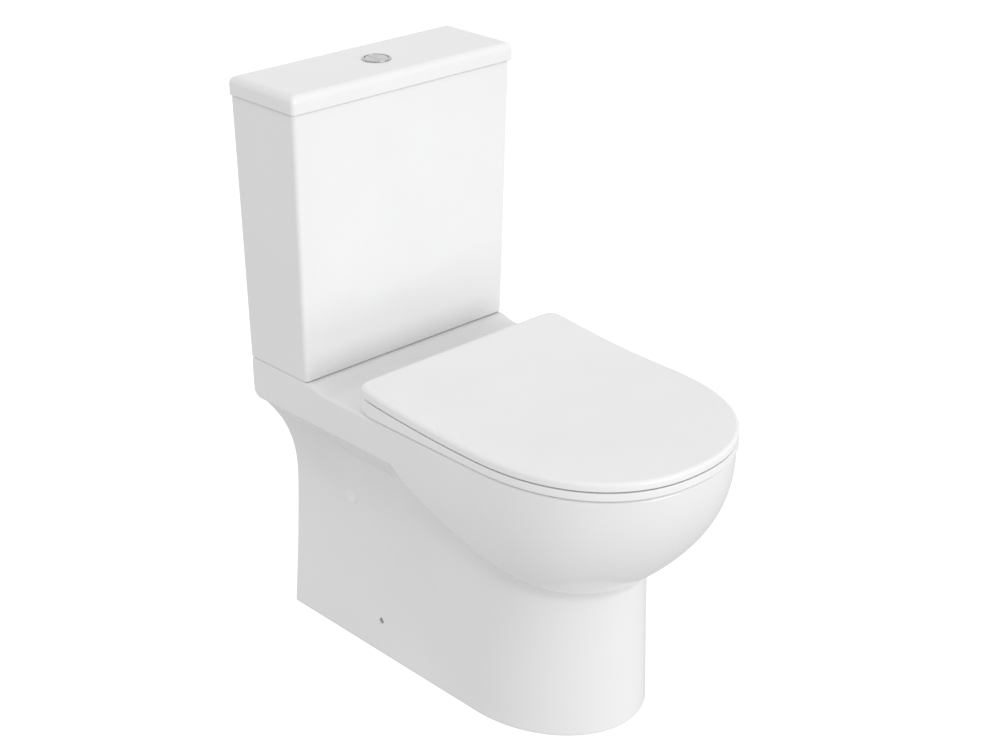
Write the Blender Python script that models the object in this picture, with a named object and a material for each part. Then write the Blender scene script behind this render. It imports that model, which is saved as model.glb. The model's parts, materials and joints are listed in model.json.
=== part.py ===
"""Close coupled toilet: china pan and cistern, flush gear, fill valve, and a hinged seat and lid.

Every piece is its own closed solid. The origin is on the floor, midway between the wall and the front.
Places are given as (x, d, z): x to the right seen from the front, d out from the wall, z up.
"""
import math

import bmesh
import bpy
from mathutils import Vector

# ---- driving dimensions, metres ----
DEPTH = 0.653  # wall to the front of the seat
HEIGHT = 0.800  # floor to the top of the cistern lid
RIM = 0.4003  # top of the pan's rim
DECK = 0.4070  # top of the deck that carries the cistern
CHINA = 0.012  # wall of the castings
GAP = 0.0003  # between pieces that touch
ROUND = 20  # sides of a large round piece
SMALL_ROUND = 12

RIM_HALF = 0.1755  # half width of deck and rim
RIM_CENTRE, RIM_NOSE, RIM_POWER = 0.440, 0.2105, 2.26
RIM_ROUND = 0.004
FOOT_HALF = 0.123  # half width of the plinth on the floor
FOOT_CENTRE, FOOT_NOSE = 0.388, 0.1537
WAIST_BACK, WAIST_FRONT = 0.208, 0.197  # height of the narrowest part
BULGE_BACK, BULGE_FRONT = (0.210, 3.0), (0.192, 2.3)  # fall over which the bowl's side comes in, and power
FLARE_BACK, FLARE_FRONT = 0.0145, 0.003  # how far the foot stands out from the waist
EDGE_BACK, EDGE_FRONT = 0.3475, 0.2190  # lower edge of the side band, and where it ends in front
EDGE_TURN, EDGE_EASE = 0.285, 0.03  # depth at which that edge starts to fall, and how gently it does
HOLLOW_FULL, HOLLOW_CLOSING, HOLLOW_END = 0.16, 0.250, 0.335  # hollow under the band, out from the wall
HOLLOW_HEIGHT, HOLLOW_DEPTH = 0.40, 0.78  # of the way down and of the way in to the waist
BOWL_HALF, BOWL_LONG, BOWL_CENTRE = 0.125, 0.155, 0.445  # opening of the bowl in the rim

TANK_BOTTOM, TANK_TOP = 0.4078, 0.7742
TANK_FLOOR = 0.4185
TANK_HALF_LOW, TANK_HALF_HIGH = 0.1765, 0.1840
TANK_DEPTH_LOW, TANK_DEPTH_HIGH = 0.1205, 0.1285
TANK_CORNER, TANK_WALL = 0.006, 0.010
LID_HALF, LID_DEPTH, LID_BOTTOM, LID_ROUND = 0.1875, 0.1325, 0.775, 0.010
LID_CORNER = 0.006

VALVE_D = 0.070  # flush valve and button, out from the wall
BUTTON_R, COLLAR_R = 0.0155, 0.0195
BUTTON_SPLIT = -0.25  # where the two keys part, as a share of the button's radius
LEVER_X, LEVER_Z = 0.028, 0.690  # pivots of the rocker levers
FULL_HOOK, HALF_HOOK = 0.6938, 0.7040  # undersides of the yoke's hooks over the levers
SEAL_R, RECESS_R = 0.0428, 0.0435  # doughnut seal, and its recess in the deck
FILL_X, FILL_D = -0.128, 0.060
BOLT_X, BOLT_D = 0.080, 0.060

HINGE_X, HINGE_D, HINGE_Z = 0.0775, 0.230, 0.4165
SEAT_HALF, SEAT_CENTRE, SEAT_BACK, SEAT_NOSE = 0.177, 0.440, 0.218, 0.213
SEAT_BOTTOM = 0.4022
SEAT_BACK_POWER = 24.0  # how square the back corners are
SEAT_EDGE, SEAT_BACK_EDGE = 0.0015, 0.006  # rounding of the seat's edge, and of its edge at the hinge
SEAT_LID_GAP, LID_EDGE = 0.0018, 0.005
SEAT_HOLE_HALF, SEAT_HOLE_LONG, SEAT_HOLE_POWER = 0.108, 0.150, 2.2

CAP_D, CAP_Z, CAP_R = 0.121, 0.213, 0.011
SCREW_D, SCREW_Z = 0.190, 0.048
OUTLET_Z, OUTLET_R = 0.190, 0.040

BACK = DEPTH / 2


# ---- finishes ----
def finish(name, colour, roughness, metallic=0.0):
    """A material with one Principled shader."""
    material = bpy.data.materials.new(name)
    material.use_nodes = True
    shader = material.node_tree.nodes["Principled BSDF"]
    shader.inputs["Base Color"].default_value = (*colour, 1.0)
    shader.inputs["Roughness"].default_value = roughness
    shader.inputs["Metallic"].default_value = metallic
    return material


# ---- mesh helpers ----
def at(x, d, z):
    """The point x to the right, d out from the wall and z above the floor."""
    return Vector((x, BACK - d, z))


def box(x, d, z):
    """A closed box from three (low, high) pairs."""
    bm = bmesh.new()
    verts = [bm.verts.new(at(i, j, k)) for k in z for j in d for i in x]
    for face in ((0, 1, 3, 2), (4, 6, 7, 5), (0, 4, 5, 1), (2, 3, 7, 6), (0, 2, 6, 4), (1, 5, 7, 3)):
        bm.faces.new([verts[i] for i in face])
    bmesh.ops.recalc_face_normals(bm, faces=bm.faces)
    return bm


def turned(profile, centre, axis="Z", sides=SMALL_ROUND):
    """A closed body of revolution. profile is a loop of (radius, height) and centre is (x, d, z)."""
    bm = bmesh.new()
    rings = []
    for radius, height in profile:
        ring = []
        for k in range(sides):
            a = 2 * math.pi * k / sides
            u, v = radius * math.cos(a), radius * math.sin(a)
            step = {"Z": (u, v, height), "X": (height, u, v), "Y": (v, height, u)}[axis]
            if radius == 0 and ring:
                ring.append(ring[0])
            else:
                ring.append(bm.verts.new(at(*(c + s for c, s in zip(centre, step)))))
        rings.append(ring)
    for low, high in zip(rings, rings[1:] + rings[:1]):
        for k in range(sides):
            n = (k + 1) % sides
            corners = list(dict.fromkeys((low[k], low[n], high[n], high[k])))
            if len(corners) > 2:
                bm.faces.new(corners)
    bmesh.ops.recalc_face_normals(bm, faces=bm.faces)
    return bm


def rod(radius, low, high, centre, axis="Z", sides=SMALL_ROUND):
    return turned([(0, low), (radius, low), (radius, high), (0, high)], centre, axis, sides)


def sleeve(inner, outer, low, high, centre, axis="Z", sides=SMALL_ROUND):
    return turned([(inner, low), (outer, low), (outer, high), (inner, high)], centre, axis, sides)


def loft(rings, ends="ngon", edge=0):
    """Skins rings of equal count. ends: ngon or across (rungs between left and right, after the edge
    points that lie along a straight back) closes both ends, and loop joins the last ring to the first."""
    bm = bmesh.new()
    skins = [[bm.verts.new(p) for p in ring] for ring in rings]
    count = len(skins[0])
    pairs = list(zip(skins, skins[1:]))
    if ends == "loop":
        pairs.append((skins[-1], skins[0]))
    for low, high in pairs:
        for k in range(count):
            n = (k + 1) % count
            bm.faces.new((low[k], low[n], high[n], high[k]))
    for ring in (skins[0], skins[-1]) if ends != "loop" else ():
        if ends == "ngon":
            bm.faces.new(ring)
        else:
            if edge:
                bm.faces.new(ring[count - 1 - edge:] + ring[:edge + 1])
            for k in range(edge, count // 2 - 1):
                bm.faces.new((ring[k], ring[k + 1], ring[count - 2 - k], ring[count - 1 - k]))
    bmesh.ops.recalc_face_normals(bm, faces=bm.faces)
    return bm


def tube(path, radius, sides=SMALL_ROUND):
    """A round bar along (d, z) points in the plane x = 0."""
    rings = []
    for k, (d, z) in enumerate(path):
        d0, z0 = path[max(k - 1, 0)]
        d1, z1 = path[min(k + 1, len(path) - 1)]
        length = math.hypot(d1 - d0, z1 - z0)
        nd, nz = -(z1 - z0) / length, (d1 - d0) / length
        turn = [2 * math.pi * s / sides for s in range(sides)]
        rings.append([
            at(radius * math.cos(a), d + nd * radius * math.sin(a), z + nz * radius * math.sin(a))
            for a in turn
        ])
    return loft(rings)


def curve_through(points, steps):
    """A smooth Catmull-Rom curve through (d, z) points."""
    ends = [points[0], *points, points[-1]]
    out = []
    for p0, p1, p2, p3 in zip(ends, ends[1:], ends[2:], ends[3:]):
        for k in range(steps):
            t = k / steps
            out.append(tuple(
                0.5 * (2 * b + (c - a) * t + (2 * a - 5 * b + 4 * c - e) * t**2
                       + (3 * b - a - 3 * c + e) * t**3)
                for a, b, c, e in zip(p0, p1, p2, p3)
            ))
    return [*out, points[-1]]


# ---- object helpers ----
def pivot(name, place):
    """An empty on a joint's axis, which the moving pieces are parented to."""
    empty = bpy.data.objects.new(name, None)
    empty.location = place
    bpy.context.scene.collection.objects.link(empty)
    return empty


def piece(name, bm, material, parent=None):
    """One named sub-part, with its origin on its parent empty."""
    origin = parent.location.copy() if parent else Vector((0, 0, 0))
    bmesh.ops.translate(bm, vec=-origin, verts=bm.verts)
    mesh = bpy.data.meshes.new(name)
    bm.to_mesh(mesh)
    bm.free()
    mesh.shade_smooth()
    mesh.set_sharp_from_angle(angle=math.radians(35))
    mesh.materials.append(material)
    obj = bpy.data.objects.new(name, mesh)
    obj.parent = parent
    bpy.context.scene.collection.objects.link(obj)
    return obj


def combine(target, shapes, operation):
    """Adds one Boolean modifier for each shape, and keeps the shape as a hidden helper."""
    for k, bm in enumerate(shapes):
        mesh = bpy.data.meshes.new("helper")
        bm.to_mesh(mesh)
        bm.free()
        name = f"{target.name}_{operation.lower()}_{k}"
        helper = bpy.data.objects.new(name, mesh)
        helper.hide_render = True
        helper.display_type = "WIRE"
        bpy.context.scene.collection.objects.link(helper)
        modifier = target.modifiers.new(name, "BOOLEAN")
        modifier.operation = operation
        modifier.solver = "EXACT"
        modifier.object = helper


def cut(target, *shapes):
    combine(target, shapes, "DIFFERENCE")


def join(target, *shapes):
    combine(target, shapes, "UNION")


# ---- pan ----
def nose_outline(half, centre, nose, power, side, front):
    """Left half of a plan outline, back to front, as (x, d): a straight side, then a rounded nose."""
    points = [(-half, centre * k / side) for k in range(side)]
    tip = math.pi / 2 * front / (front + 0.5)
    for k in range(front + 1):
        a = tip * k / front
        points.append((
            -half * math.cos(a) ** (2 / power),
            centre + nose * (math.sin(a) / math.sin(tip)) ** (2 / power),
        ))
    return points


def mirrored(left):
    """The closed outline: the left half from back to front, then the right half to the back."""
    return left + [(-p[0], *p[1:]) for p in reversed(left)]


def edge_height(d):
    """Height of the band's lower edge where the rim's outline is d out from the wall."""
    along = max(0.0, (d - EDGE_TURN) / (RIM_CENTRE + RIM_NOSE - EDGE_TURN))
    return EDGE_BACK - (EDGE_BACK - EDGE_FRONT) * (along**2 / (along + EDGE_EASE)) ** 0.65


def hollow_open(d):
    """How far the hollow under the band has opened: none at the wall, all of it beside the trap."""
    t = min(1.0, max(0.0, (d - HOLLOW_CLOSING) / (HOLLOW_END - HOLLOW_CLOSING)))
    return min(1.0, d / HOLLOW_FULL) ** 0.7 * (1 - t * t * (3 - 2 * t))


def deck_rise(d):
    """How far the deck stands over the rim, fading out in front of the cistern."""
    t = min(1.0, max(0.0, (d - 0.128) / 0.030))
    return (DECK - RIM) * (1 - t * t * (3 - 2 * t))


def pan_column(top, foot, along):
    """Points of the pan's outside from floor to rim, where its plan is at top on the rim and at foot
    on the floor. along runs from 0, where the band's edge starts to fall, to 1 at the front."""
    waist_z = WAIST_BACK + (WAIST_FRONT - WAIST_BACK) * along
    flare = FLARE_BACK + (FLARE_FRONT - FLARE_BACK) * along
    edge_z = max(edge_height(top[1]), waist_z + 0.012)
    round_d = max(0.0, foot[1] - FOOT_CENTRE)
    shrink = flare / math.hypot(foot[0], round_d)
    waist = (foot[0] * (1 - shrink), foot[1] - round_d * shrink)

    def bulge(z):
        """How far the side has come in at height z, as a share of the way from the rim to the waist."""
        reach = BULGE_BACK[0] + (BULGE_FRONT[0] - BULGE_BACK[0]) * along**2
        power = BULGE_BACK[1] + (BULGE_FRONT[1] - BULGE_BACK[1]) * along**2
        return min(1.0, max(0.0, (RIM - z) / reach) ** power)

    def between(share, z):
        return (top[0] + (waist[0] - top[0]) * share, top[1] + (waist[1] - top[1]) * share, z)

    column = []
    for z in (0.0, 0.07, 0.14):
        out = ((waist_z - z) / waist_z) ** 1.4
        column.append((waist[0] + (foot[0] - waist[0]) * out, waist[1] + (foot[1] - waist[1]) * out, z))
    edge_share = bulge(edge_z)
    opened = hollow_open(top[1])
    valley_up = 1 - HOLLOW_HEIGHT * opened
    valley_share = edge_share + (HOLLOW_DEPTH - edge_share) * opened**0.8
    for t in (0.0, 0.4, 0.7, 1.0):
        share = 1 - (1 - valley_share) * (t * min(valley_up, 0.9) / valley_up) ** (2.2 - 0.7 * opened)
        column.append(between(share, waist_z + (edge_z - waist_z) * t * min(valley_up, 0.9)))
    column.append(between(edge_share, edge_z))
    for k in range(1, 5):
        z = edge_z + (RIM - RIM_ROUND - edge_z) * k / 4
        column.append(between(bulge(z), z))
    return column, waist


def thickened(column, top, waist, wall):
    """The column moved inwards by the wall, square to its own slope."""
    length = math.dist(top, waist)
    inward = ((waist[0] - top[0]) / length, (waist[1] - top[1]) / length)
    depths = [(p[0] - top[0]) * inward[0] + (p[1] - top[1]) * inward[1] for p in column]
    moved = [(column[0][0] + inward[0] * wall, column[0][1] + inward[1] * wall, -0.02)]
    for k in range(len(column)):
        low, high = max(k - 1, 0), min(k + 1, len(column) - 1)
        rise, run = column[high][2] - column[low][2], depths[high] - depths[low]
        slope = math.hypot(rise, run)
        step = wall * rise / slope
        roof = RIM - RIM_ROUND - wall - 0.0001 * (len(column) - k)
        moved.append((column[k][0] + inward[0] * step, column[k][1] + inward[1] * step,
                      min(column[k][2] - wall * run / slope, roof)))
    return moved


def pan_shell(wall=0.0, side=10, front=11):
    """Rings of the pan's outside, or of the space that a wall of the given thickness leaves."""
    tops = nose_outline(RIM_HALF, RIM_CENTRE, RIM_NOSE, RIM_POWER, side, front)
    feet = nose_outline(FOOT_HALF, FOOT_CENTRE, FOOT_NOSE, 2.0, side, front)
    columns = []
    for top, foot in zip(tops, feet):
        along = max(0.0, (top[1] - EDGE_TURN) / (RIM_CENTRE + RIM_NOSE - EDGE_TURN))
        column, waist = pan_column(top, foot, along)
        if wall:
            columns.append(thickened(column, top, waist, wall))
            continue
        rise = deck_rise(top[1])
        column = [(x, d, z + rise * max(0.0, (z - 0.36) / 0.04)) for x, d, z in column]
        x, d, z = column[-1]
        for in_share, up_share in ((0.3, 0.7), (1.0, 1.0)):
            inset = RIM_ROUND * in_share
            column.append((x * (1 - inset / RIM_HALF), d - inset * max(0.0, d - RIM_CENTRE) / RIM_NOSE,
                           z + RIM_ROUND * up_share))
        columns.append(column)
    return [[at(*p) for p in mirrored(list(level))] for level in zip(*columns)]


def bowl_rings(grow=0.0, sides=32, top=RIM + 0.010):
    """Plan rings of the bowl's hollow, from the sump up past the rim."""
    shape = ((0.32, 0.125, 0.395), (0.48, 0.150, 0.401), (0.62, 0.190, 0.409), (0.79, 0.240, 0.424),
             (0.94, 0.300, 0.440), (1.0, 0.360, BOWL_CENTRE), (1.0, top, BOWL_CENTRE))
    rings = []
    for share, z, centre in shape:
        a, b = BOWL_HALF * share + grow, BOWL_LONG * share + grow
        turn = [2 * math.pi * k / sides for k in range(sides)]
        ring_z = z - grow if z < 0.13 else z
        rings.append([at(a * math.cos(t), centre + b * math.sin(t), ring_z) for t in turn])
    return rings


def make_pan(china):
    """The casting: outside skin, bowl, trap to the spigot, flush duct, and holes for the fittings."""
    pan = piece("pan", loft(pan_shell(), "across"), china)
    trap = curve_through([(0.395, 0.165), (0.350, 0.135), (0.300, 0.160), (0.255, 0.225),
                          (0.205, 0.240), (0.165, 0.210), (0.125, OUTLET_Z), (0.085, OUTLET_Z),
                          (0.045, OUTLET_Z)], 2)
    duct = [(VALVE_D, 0.342), (0.315, 0.342)]

    def inlet(grow=0.0):
        """The seal's recess in the deck, and the drop below it."""
        profile = [(0, 0.317 - grow), (0.025 + grow, 0.317 - grow), (0.025 + grow, 0.3725 - grow),
                   (RECESS_R + grow, 0.3725 - grow), (RECESS_R + grow, 0.45), (0, 0.45)]
        return turned(profile, (0, VALVE_D, 0), sides=ROUND)

    # the space inside the skin, open at floor and wall, less the walls of bowl, trap and flush duct
    hollow = pan_shell(CHINA, 8, 8)
    for ring in hollow:
        for p in ring:
            p.y += 0.01 if p.y > BACK - 0.001 else 0.0
    space = piece("pan_space", loft(hollow), china)
    space.hide_render = True
    space.display_type = "WIRE"
    cut(space, loft(bowl_rings(CHINA, 20)), tube([*trap[:-1], (0.0455, OUTLET_Z)], OUTLET_R + 0.009),
        inlet(CHINA - 0.001), tube(duct, 0.032))
    modifier = pan.modifiers.new("space", "BOOLEAN")
    modifier.operation = "DIFFERENCE"
    modifier.solver = "EXACT"
    modifier.object = space
    cut(pan, loft(bowl_rings()), tube(trap + [(0.02, OUTLET_Z)], OUTLET_R),
        inlet(), tube(duct, 0.022))
    for side in (-1, 1):
        cut(pan, rod(0.005, 0.34, 0.42, (side * BOLT_X, BOLT_D, 0)),
            rod(0.005, 0.34, 0.42, (side * HINGE_X, HINGE_D, 0)),
            rod(CAP_R + 0.0005, *sorted((side * 0.1065, side * 0.15)), (0, CAP_D, CAP_Z), "X"),
            rod(0.0064, *sorted((side * 0.08, side * 0.15)), (0, CAP_D, CAP_Z), "X"),
            rod(0.0045, *sorted((side * 0.09, side * 0.15)), (0, SCREW_D, SCREW_Z), "X"))
    cut(pan, rod(0.022, 0.34, 0.42, (FILL_X, FILL_D, 0)))


# ---- cistern ----
def rounded_box_ring(half, front, z, round_front, inset=0.0, back=0.0):
    """Rounded rectangle as a ring: small corners at the wall, large ones in front."""
    ring = []
    half, low, high = half - inset, back + inset, front - inset
    corners = ((-1, low, 0.004, 270), (-1, high, round_front, 180),
               (1, high, round_front, 90), (1, low, 0.004, 0))
    for side, d, radius, first in corners:
        radius = max(radius - inset, 0.001)
        sign = 1 if d == low else -1
        for k in range(5):
            a = math.radians(first - 22.5 * k)
            ring.append(at(side * (half - radius) + radius * math.cos(a),
                           d + sign * radius + radius * math.sin(a), z))
    return ring


def make_tank(china):
    """The open tank, tapering down, with holes for both valves and the coupling bolts."""
    low, high = (TANK_HALF_LOW, TANK_DEPTH_LOW), (TANK_HALF_HIGH, TANK_DEPTH_HIGH)
    tank = piece("cistern_tank", loft([
        rounded_box_ring(*low, TANK_BOTTOM, TANK_CORNER, 0.003),
        rounded_box_ring(*low, TANK_BOTTOM + 0.003, TANK_CORNER),
        rounded_box_ring(*high, TANK_TOP, TANK_CORNER),
        rounded_box_ring(*high, TANK_TOP, TANK_CORNER, TANK_WALL),
        rounded_box_ring(*low, TANK_FLOOR + 0.004, TANK_CORNER, TANK_WALL),
        rounded_box_ring(*low, TANK_FLOOR, TANK_CORNER, TANK_WALL + 0.002),
    ]), china)
    cut(tank, rod(0.0305, 0.40, 0.43, (0, VALVE_D, 0), sides=ROUND),
        rod(0.0112, 0.40, 0.43, (FILL_X, FILL_D, 0)),
        *(rod(0.0045, 0.40, 0.43, (side * BOLT_X, BOLT_D, 0)) for side in (-1, 1)))


def make_cistern_lid(china, chrome, plastic, lift):
    """The loose cover with its locating lip, and the collar and nut clamped in its button hole."""
    rings = [rounded_box_ring(LID_HALF, LID_DEPTH, LID_BOTTOM, LID_CORNER, 0.002),
             rounded_box_ring(LID_HALF, LID_DEPTH, LID_BOTTOM + 0.002, LID_CORNER)]
    for k in range(5):
        a = math.radians(22.5 * k)
        z = HEIGHT - LID_ROUND * (1 - math.sin(a))
        rings.append(rounded_box_ring(LID_HALF, LID_DEPTH, z, LID_CORNER, LID_ROUND * (1 - math.cos(a))))
    cover = piece("cistern_lid", loft(rings), china, lift)
    join(cover, loft([rounded_box_ring(0.166, 0.112, z, 0.006, back=0.018) for z in (0.767, 0.778)]))
    cut(cover, loft([rounded_box_ring(0.156, 0.102, z, 0.004, back=0.028) for z in (0.760, 0.788)]),
        rod(0.0175, 0.77, 0.81, (0, VALVE_D, 0), sides=ROUND))
    piece("button_collar", turned([(0.0160, 0.772), (0.0172, 0.772), (0.0172, 0.8003), (COLLAR_R, 0.8003),
                                   (COLLAR_R, 0.8012), (0.0185, 0.8020), (0.0160, 0.8020)],
                                  (0, VALVE_D, 0), sides=ROUND), chrome, lift)
    piece("button_collar_nut", sleeve(0.0176, 0.024, 0.7810, 0.7876, (0, VALVE_D, 0), sides=ROUND),
          plastic, lift)


def make_button(name, side, chrome, plastic, parent):
    """One key of the flush button, with its push rod."""
    limit = math.acos(BUTTON_SPLIT + side * GAP / BUTTON_R)
    span = (-limit, limit) if side > 0 else (limit, 2 * math.pi - limit)
    outline = [span[0] + (span[1] - span[0]) * k / 14 for k in range(15)]

    def ring(radius, z):
        return [at(radius * math.cos(a), VALVE_D + radius * math.sin(a), z) for a in outline]

    piece(name, loft([ring(BUTTON_R, 0.7900), ring(BUTTON_R, 0.8008), ring(BUTTON_R - 0.0006, 0.8016)]),
          chrome, parent)
    piece(f"{name}_rod", rod(0.003, 0.6940, 0.7897, (side * 0.0085, VALVE_D, 0)), plastic, parent)


# ---- flush gear ----
def make_flush_valve(plastic, rubber, steel):
    """Valve body with windows at its foot, and pivot posts for both levers on its head."""
    centre = (0, VALVE_D, 0)
    body = piece("flush_valve_body", turned([
        (0.0295, 0.380), (0.0295, 0.4204), (0.0345, 0.4204), (0.0345, 0.4284), (0.033, 0.4284),
        (0.033, 0.640), (0.0138, 0.640), (0.0138, 0.636), (0.0305, 0.636), (0.0305, 0.430),
        (0.024, 0.430), (0.024, 0.380)], centre, sides=ROUND), plastic)
    cut(body, box((-0.013, 0.013), (VALVE_D - 0.05, VALVE_D + 0.05), (0.436, 0.480)),
        box((-0.05, 0.05), (VALVE_D - 0.013, VALVE_D + 0.013), (0.436, 0.480)))
    for side in (-1, 1):
        low, high = sorted((side * 0.0235, side * 0.0325))
        join(body, *(box((low, high), sorted((VALVE_D + s * 0.005, VALVE_D + s * 0.008)), (0.638, 0.696))
                     for s in (-1, 1)))
        cut(body, rod(0.0023, -0.012, 0.012, (side * LEVER_X, VALVE_D, LEVER_Z), "Y"))
        name = "full" if side > 0 else "half"
        pin = rod(0.002, -0.0095, 0.0095, (side * LEVER_X, VALVE_D, LEVER_Z), "Y")
        piece(f"{name}_flush_lever_pin", pin, steel)
    piece("flush_valve_washer", sleeve(0.031, 0.0345, 0.4188, 0.4200, centre, sides=ROUND), rubber)
    piece("flush_valve_nut", sleeve(0.0298, 0.0362, 0.3950, 0.4074, centre, sides=ROUND), plastic)
    inner, chamfer = SEAL_R - 0.0056, 0.0014
    piece("doughnut_seal", turned([
        (inner, 0.3760), (inner + chamfer, 0.3729), (SEAL_R - chamfer, 0.3729), (SEAL_R, 0.3760),
        (SEAL_R, 0.4040), (SEAL_R - chamfer, 0.4074), (inner + chamfer, 0.4074), (inner, 0.4040)],
        centre, sides=ROUND), rubber)


def make_lever(side, plastic):
    """A rocker: its inner arm lies under the push rod, its outer arm under the yoke's hook."""
    name = "full_flush_lever" if side > 0 else "half_flush_lever"
    axis = pivot(f"{name}_axis", at(side * LEVER_X, VALVE_D, LEVER_Z))
    width = (VALVE_D - 0.0035, VALVE_D + 0.0035)
    lever = piece(name, box(sorted((side * 0.005, side * 0.049)), width, (0.688, 0.692)), plastic, axis)
    join(lever, rod(0.005, -0.0035, 0.0035, (side * LEVER_X, VALVE_D, LEVER_Z), "Y"))
    cut(lever, rod(0.0023, -0.01, 0.01, (side * LEVER_X, VALVE_D, LEVER_Z), "Y"))


def make_overflow(plastic, rubber):
    """The tube that lifts off the seat, its yoke with one hook over each lever, and the seal."""
    lift = pivot("valve_lift_axis", at(0, VALVE_D, 0.4304))
    centre = (0, VALVE_D, 0)
    overflow = piece("overflow_tube", turned([
        (0.010, 0.4304), (0.012, 0.4304), (0.012, 0.4350), (0.024, 0.4350), (0.024, 0.4385),
        (0.012, 0.4385), (0.012, 0.655), (0.010, 0.655)], centre, sides=ROUND), plastic, lift)
    width = (VALVE_D - 0.003, VALVE_D + 0.003)
    for side, hook in ((1, FULL_HOOK), (-1, HALF_HOOK)):
        join(overflow, box(sorted((side * 0.011, side * 0.056)), width, (0.646, 0.652)),
             box(sorted((side * 0.052, side * 0.056)), width, (0.6465, hook + 0.006)),
             box(sorted((side * 0.043, side * 0.0555)), width, (hook, hook + 0.0055)))
    piece("flush_valve_seal", sleeve(0.0123, 0.0285, 0.4304, 0.4346, centre, sides=ROUND), rubber, lift)


def make_fill_valve(plastic, rubber, steel, brass):
    """Inlet column with the float round it, and the arm that the float's rod raises."""
    centre = (FILL_X, FILL_D, 0)
    pin_x, pin_z = FILL_X + 0.006, 0.697
    body = piece("fill_valve_body", turned([
        (0.005, 0.372), (0.0105, 0.372), (0.0105, 0.4204), (0.020, 0.4204), (0.020, 0.4264),
        (0.0115, 0.4264), (0.0115, 0.672), (0.016, 0.672), (0.016, 0.690), (0, 0.690), (0, 0.665),
        (0.005, 0.665)], centre), plastic)
    join(body, *(box((pin_x - 0.004, pin_x + 0.004), sorted((FILL_D + s * 0.004, FILL_D + s * 0.0065)),
                     (0.688, 0.702)) for s in (-1, 1)))
    cut(body, rod(0.0018, -0.01, 0.01, (pin_x, FILL_D, pin_z), "Y"))
    piece("float_arm_pin", rod(0.0015, -0.0075, 0.0075, (pin_x, FILL_D, pin_z), "Y"), steel)
    piece("fill_valve_washer", sleeve(0.011, 0.020, 0.4188, 0.4200, centre), rubber)
    piece("fill_valve_nut", sleeve(0.0109, 0.018, 0.3950, 0.4074, centre, sides=12), brass)

    arm_axis = pivot("float_arm_axis", at(pin_x, FILL_D, pin_z))
    arm = piece("float_arm", box((pin_x - 0.004, pin_x + 0.031), (FILL_D - 0.003, FILL_D + 0.003),
                                 (0.695, 0.699)), plastic, arm_axis)
    join(arm, rod(0.004, -0.003, 0.003, (pin_x, FILL_D, pin_z), "Y"))
    cut(arm, rod(0.0018, -0.01, 0.01, (pin_x, FILL_D, pin_z), "Y"))

    float_axis = pivot("float_axis", at(FILL_X, FILL_D, 0.560))
    cup = piece("float_cup", turned([
        (0.0125, 0.560), (0.0145, 0.560), (0.0145, 0.606), (0.026, 0.606), (0.026, 0.560),
        (0.028, 0.560), (0.028, 0.610), (0.0125, 0.610)], centre, sides=ROUND), plastic, float_axis)
    join(cup, box((FILL_X + 0.026, FILL_X + 0.036), (FILL_D - 0.005, FILL_D + 0.005), (0.604, 0.610)))
    piece("float_rod", rod(0.002, 0.6103, 0.692, (FILL_X + 0.0315, FILL_D, 0), sides=10), plastic,
          float_axis)


def make_coupling(side, name, rubber, steel, brass):
    """Bolt, washers and wing nut that clamp the tank to the pan."""
    centre = (side * BOLT_X, BOLT_D, 0)
    piece(f"coupling_bolt_{name}", turned([(0, 0.362), (0.004, 0.362), (0.004, 0.4222), (0.008, 0.4222),
                                           (0.008, 0.4272), (0, 0.4272)], centre, sides=12), brass)
    piece(f"coupling_rubber_{name}", sleeve(0.0045, 0.012, 0.4188, 0.4218, centre), rubber)
    piece(f"coupling_washer_{name}", sleeve(0.0045, 0.011, 0.3820, 0.3840, centre), steel)
    nut = piece(f"wing_nut_{name}", sleeve(0.0043, 0.009, 0.3710, 0.3817, centre), brass)
    for s in (-1, 1):
        wing = sorted((centre[0] + s * 0.0065, centre[0] + s * 0.016))
        join(nut, box(wing, (BOLT_D - 0.0015, BOLT_D + 0.0015), (0.3712, 0.3800)))


# ---- seat ----
def seat_gap(d):
    """Height of the parting between seat and lid, which rises towards the hinge."""
    s = max(0.0, (SEAT_CENTRE - d) / 0.210)
    return 0.4137 + 0.0115 * s * s


def lid_top(d):
    s = min(1.0, max(0.0, (SEAT_CENTRE - d) / 0.210))
    return 0.4265 + 0.0145 * s * s


def seat_angles(steps=21):
    """Directions from the seat's centre on the left side, back to front, closer at the back corner."""
    corner = math.atan2(SEAT_BACK, SEAT_HALF)
    end = math.pi / 2 - 0.02
    even = [-end + 2 * end * k / (steps - 1) for k in range(steps)]
    return sorted([a for a in even if abs(a + corner) > 0.08] + [-corner + k * 0.05 for k in (-1, 0, 1)])


def oval_radius(angle, half, reach, power):
    """Distance from the seat's centre to a superellipse with the given half width and reach."""
    across, along = abs(math.cos(angle)) / half, abs(math.sin(angle)) / reach
    return (across**power + along**power) ** (-1 / power)


def seat_ring_points(inset, height):
    """One ring of the seat's outline, drawn in by inset(d), at the height that height(d) gives."""
    left = []
    for a in seat_angles():
        reach, power = (SEAT_NOSE, RIM_POWER) if a > 0 else (SEAT_BACK, SEAT_BACK_POWER)
        edge_d = SEAT_CENTRE + math.sin(a) * oval_radius(a, SEAT_HALF, reach, power)
        draw = inset(edge_d)
        r = oval_radius(a, SEAT_HALF - draw, reach - draw, power)
        d = SEAT_CENTRE + r * math.sin(a)
        left.append((-r * math.cos(a), d, height(d)))
    return [at(*p) for p in mirrored(left)]


def seat_hole_points(grow, height):
    left = []
    for a in seat_angles():
        r = oval_radius(a, SEAT_HOLE_HALF + grow, SEAT_HOLE_LONG + grow, SEAT_HOLE_POWER)
        d = SEAT_CENTRE + r * math.sin(a)
        left.append((-r * math.cos(a), d, height(d)))
    return [at(*p) for p in mirrored(left)]


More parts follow.
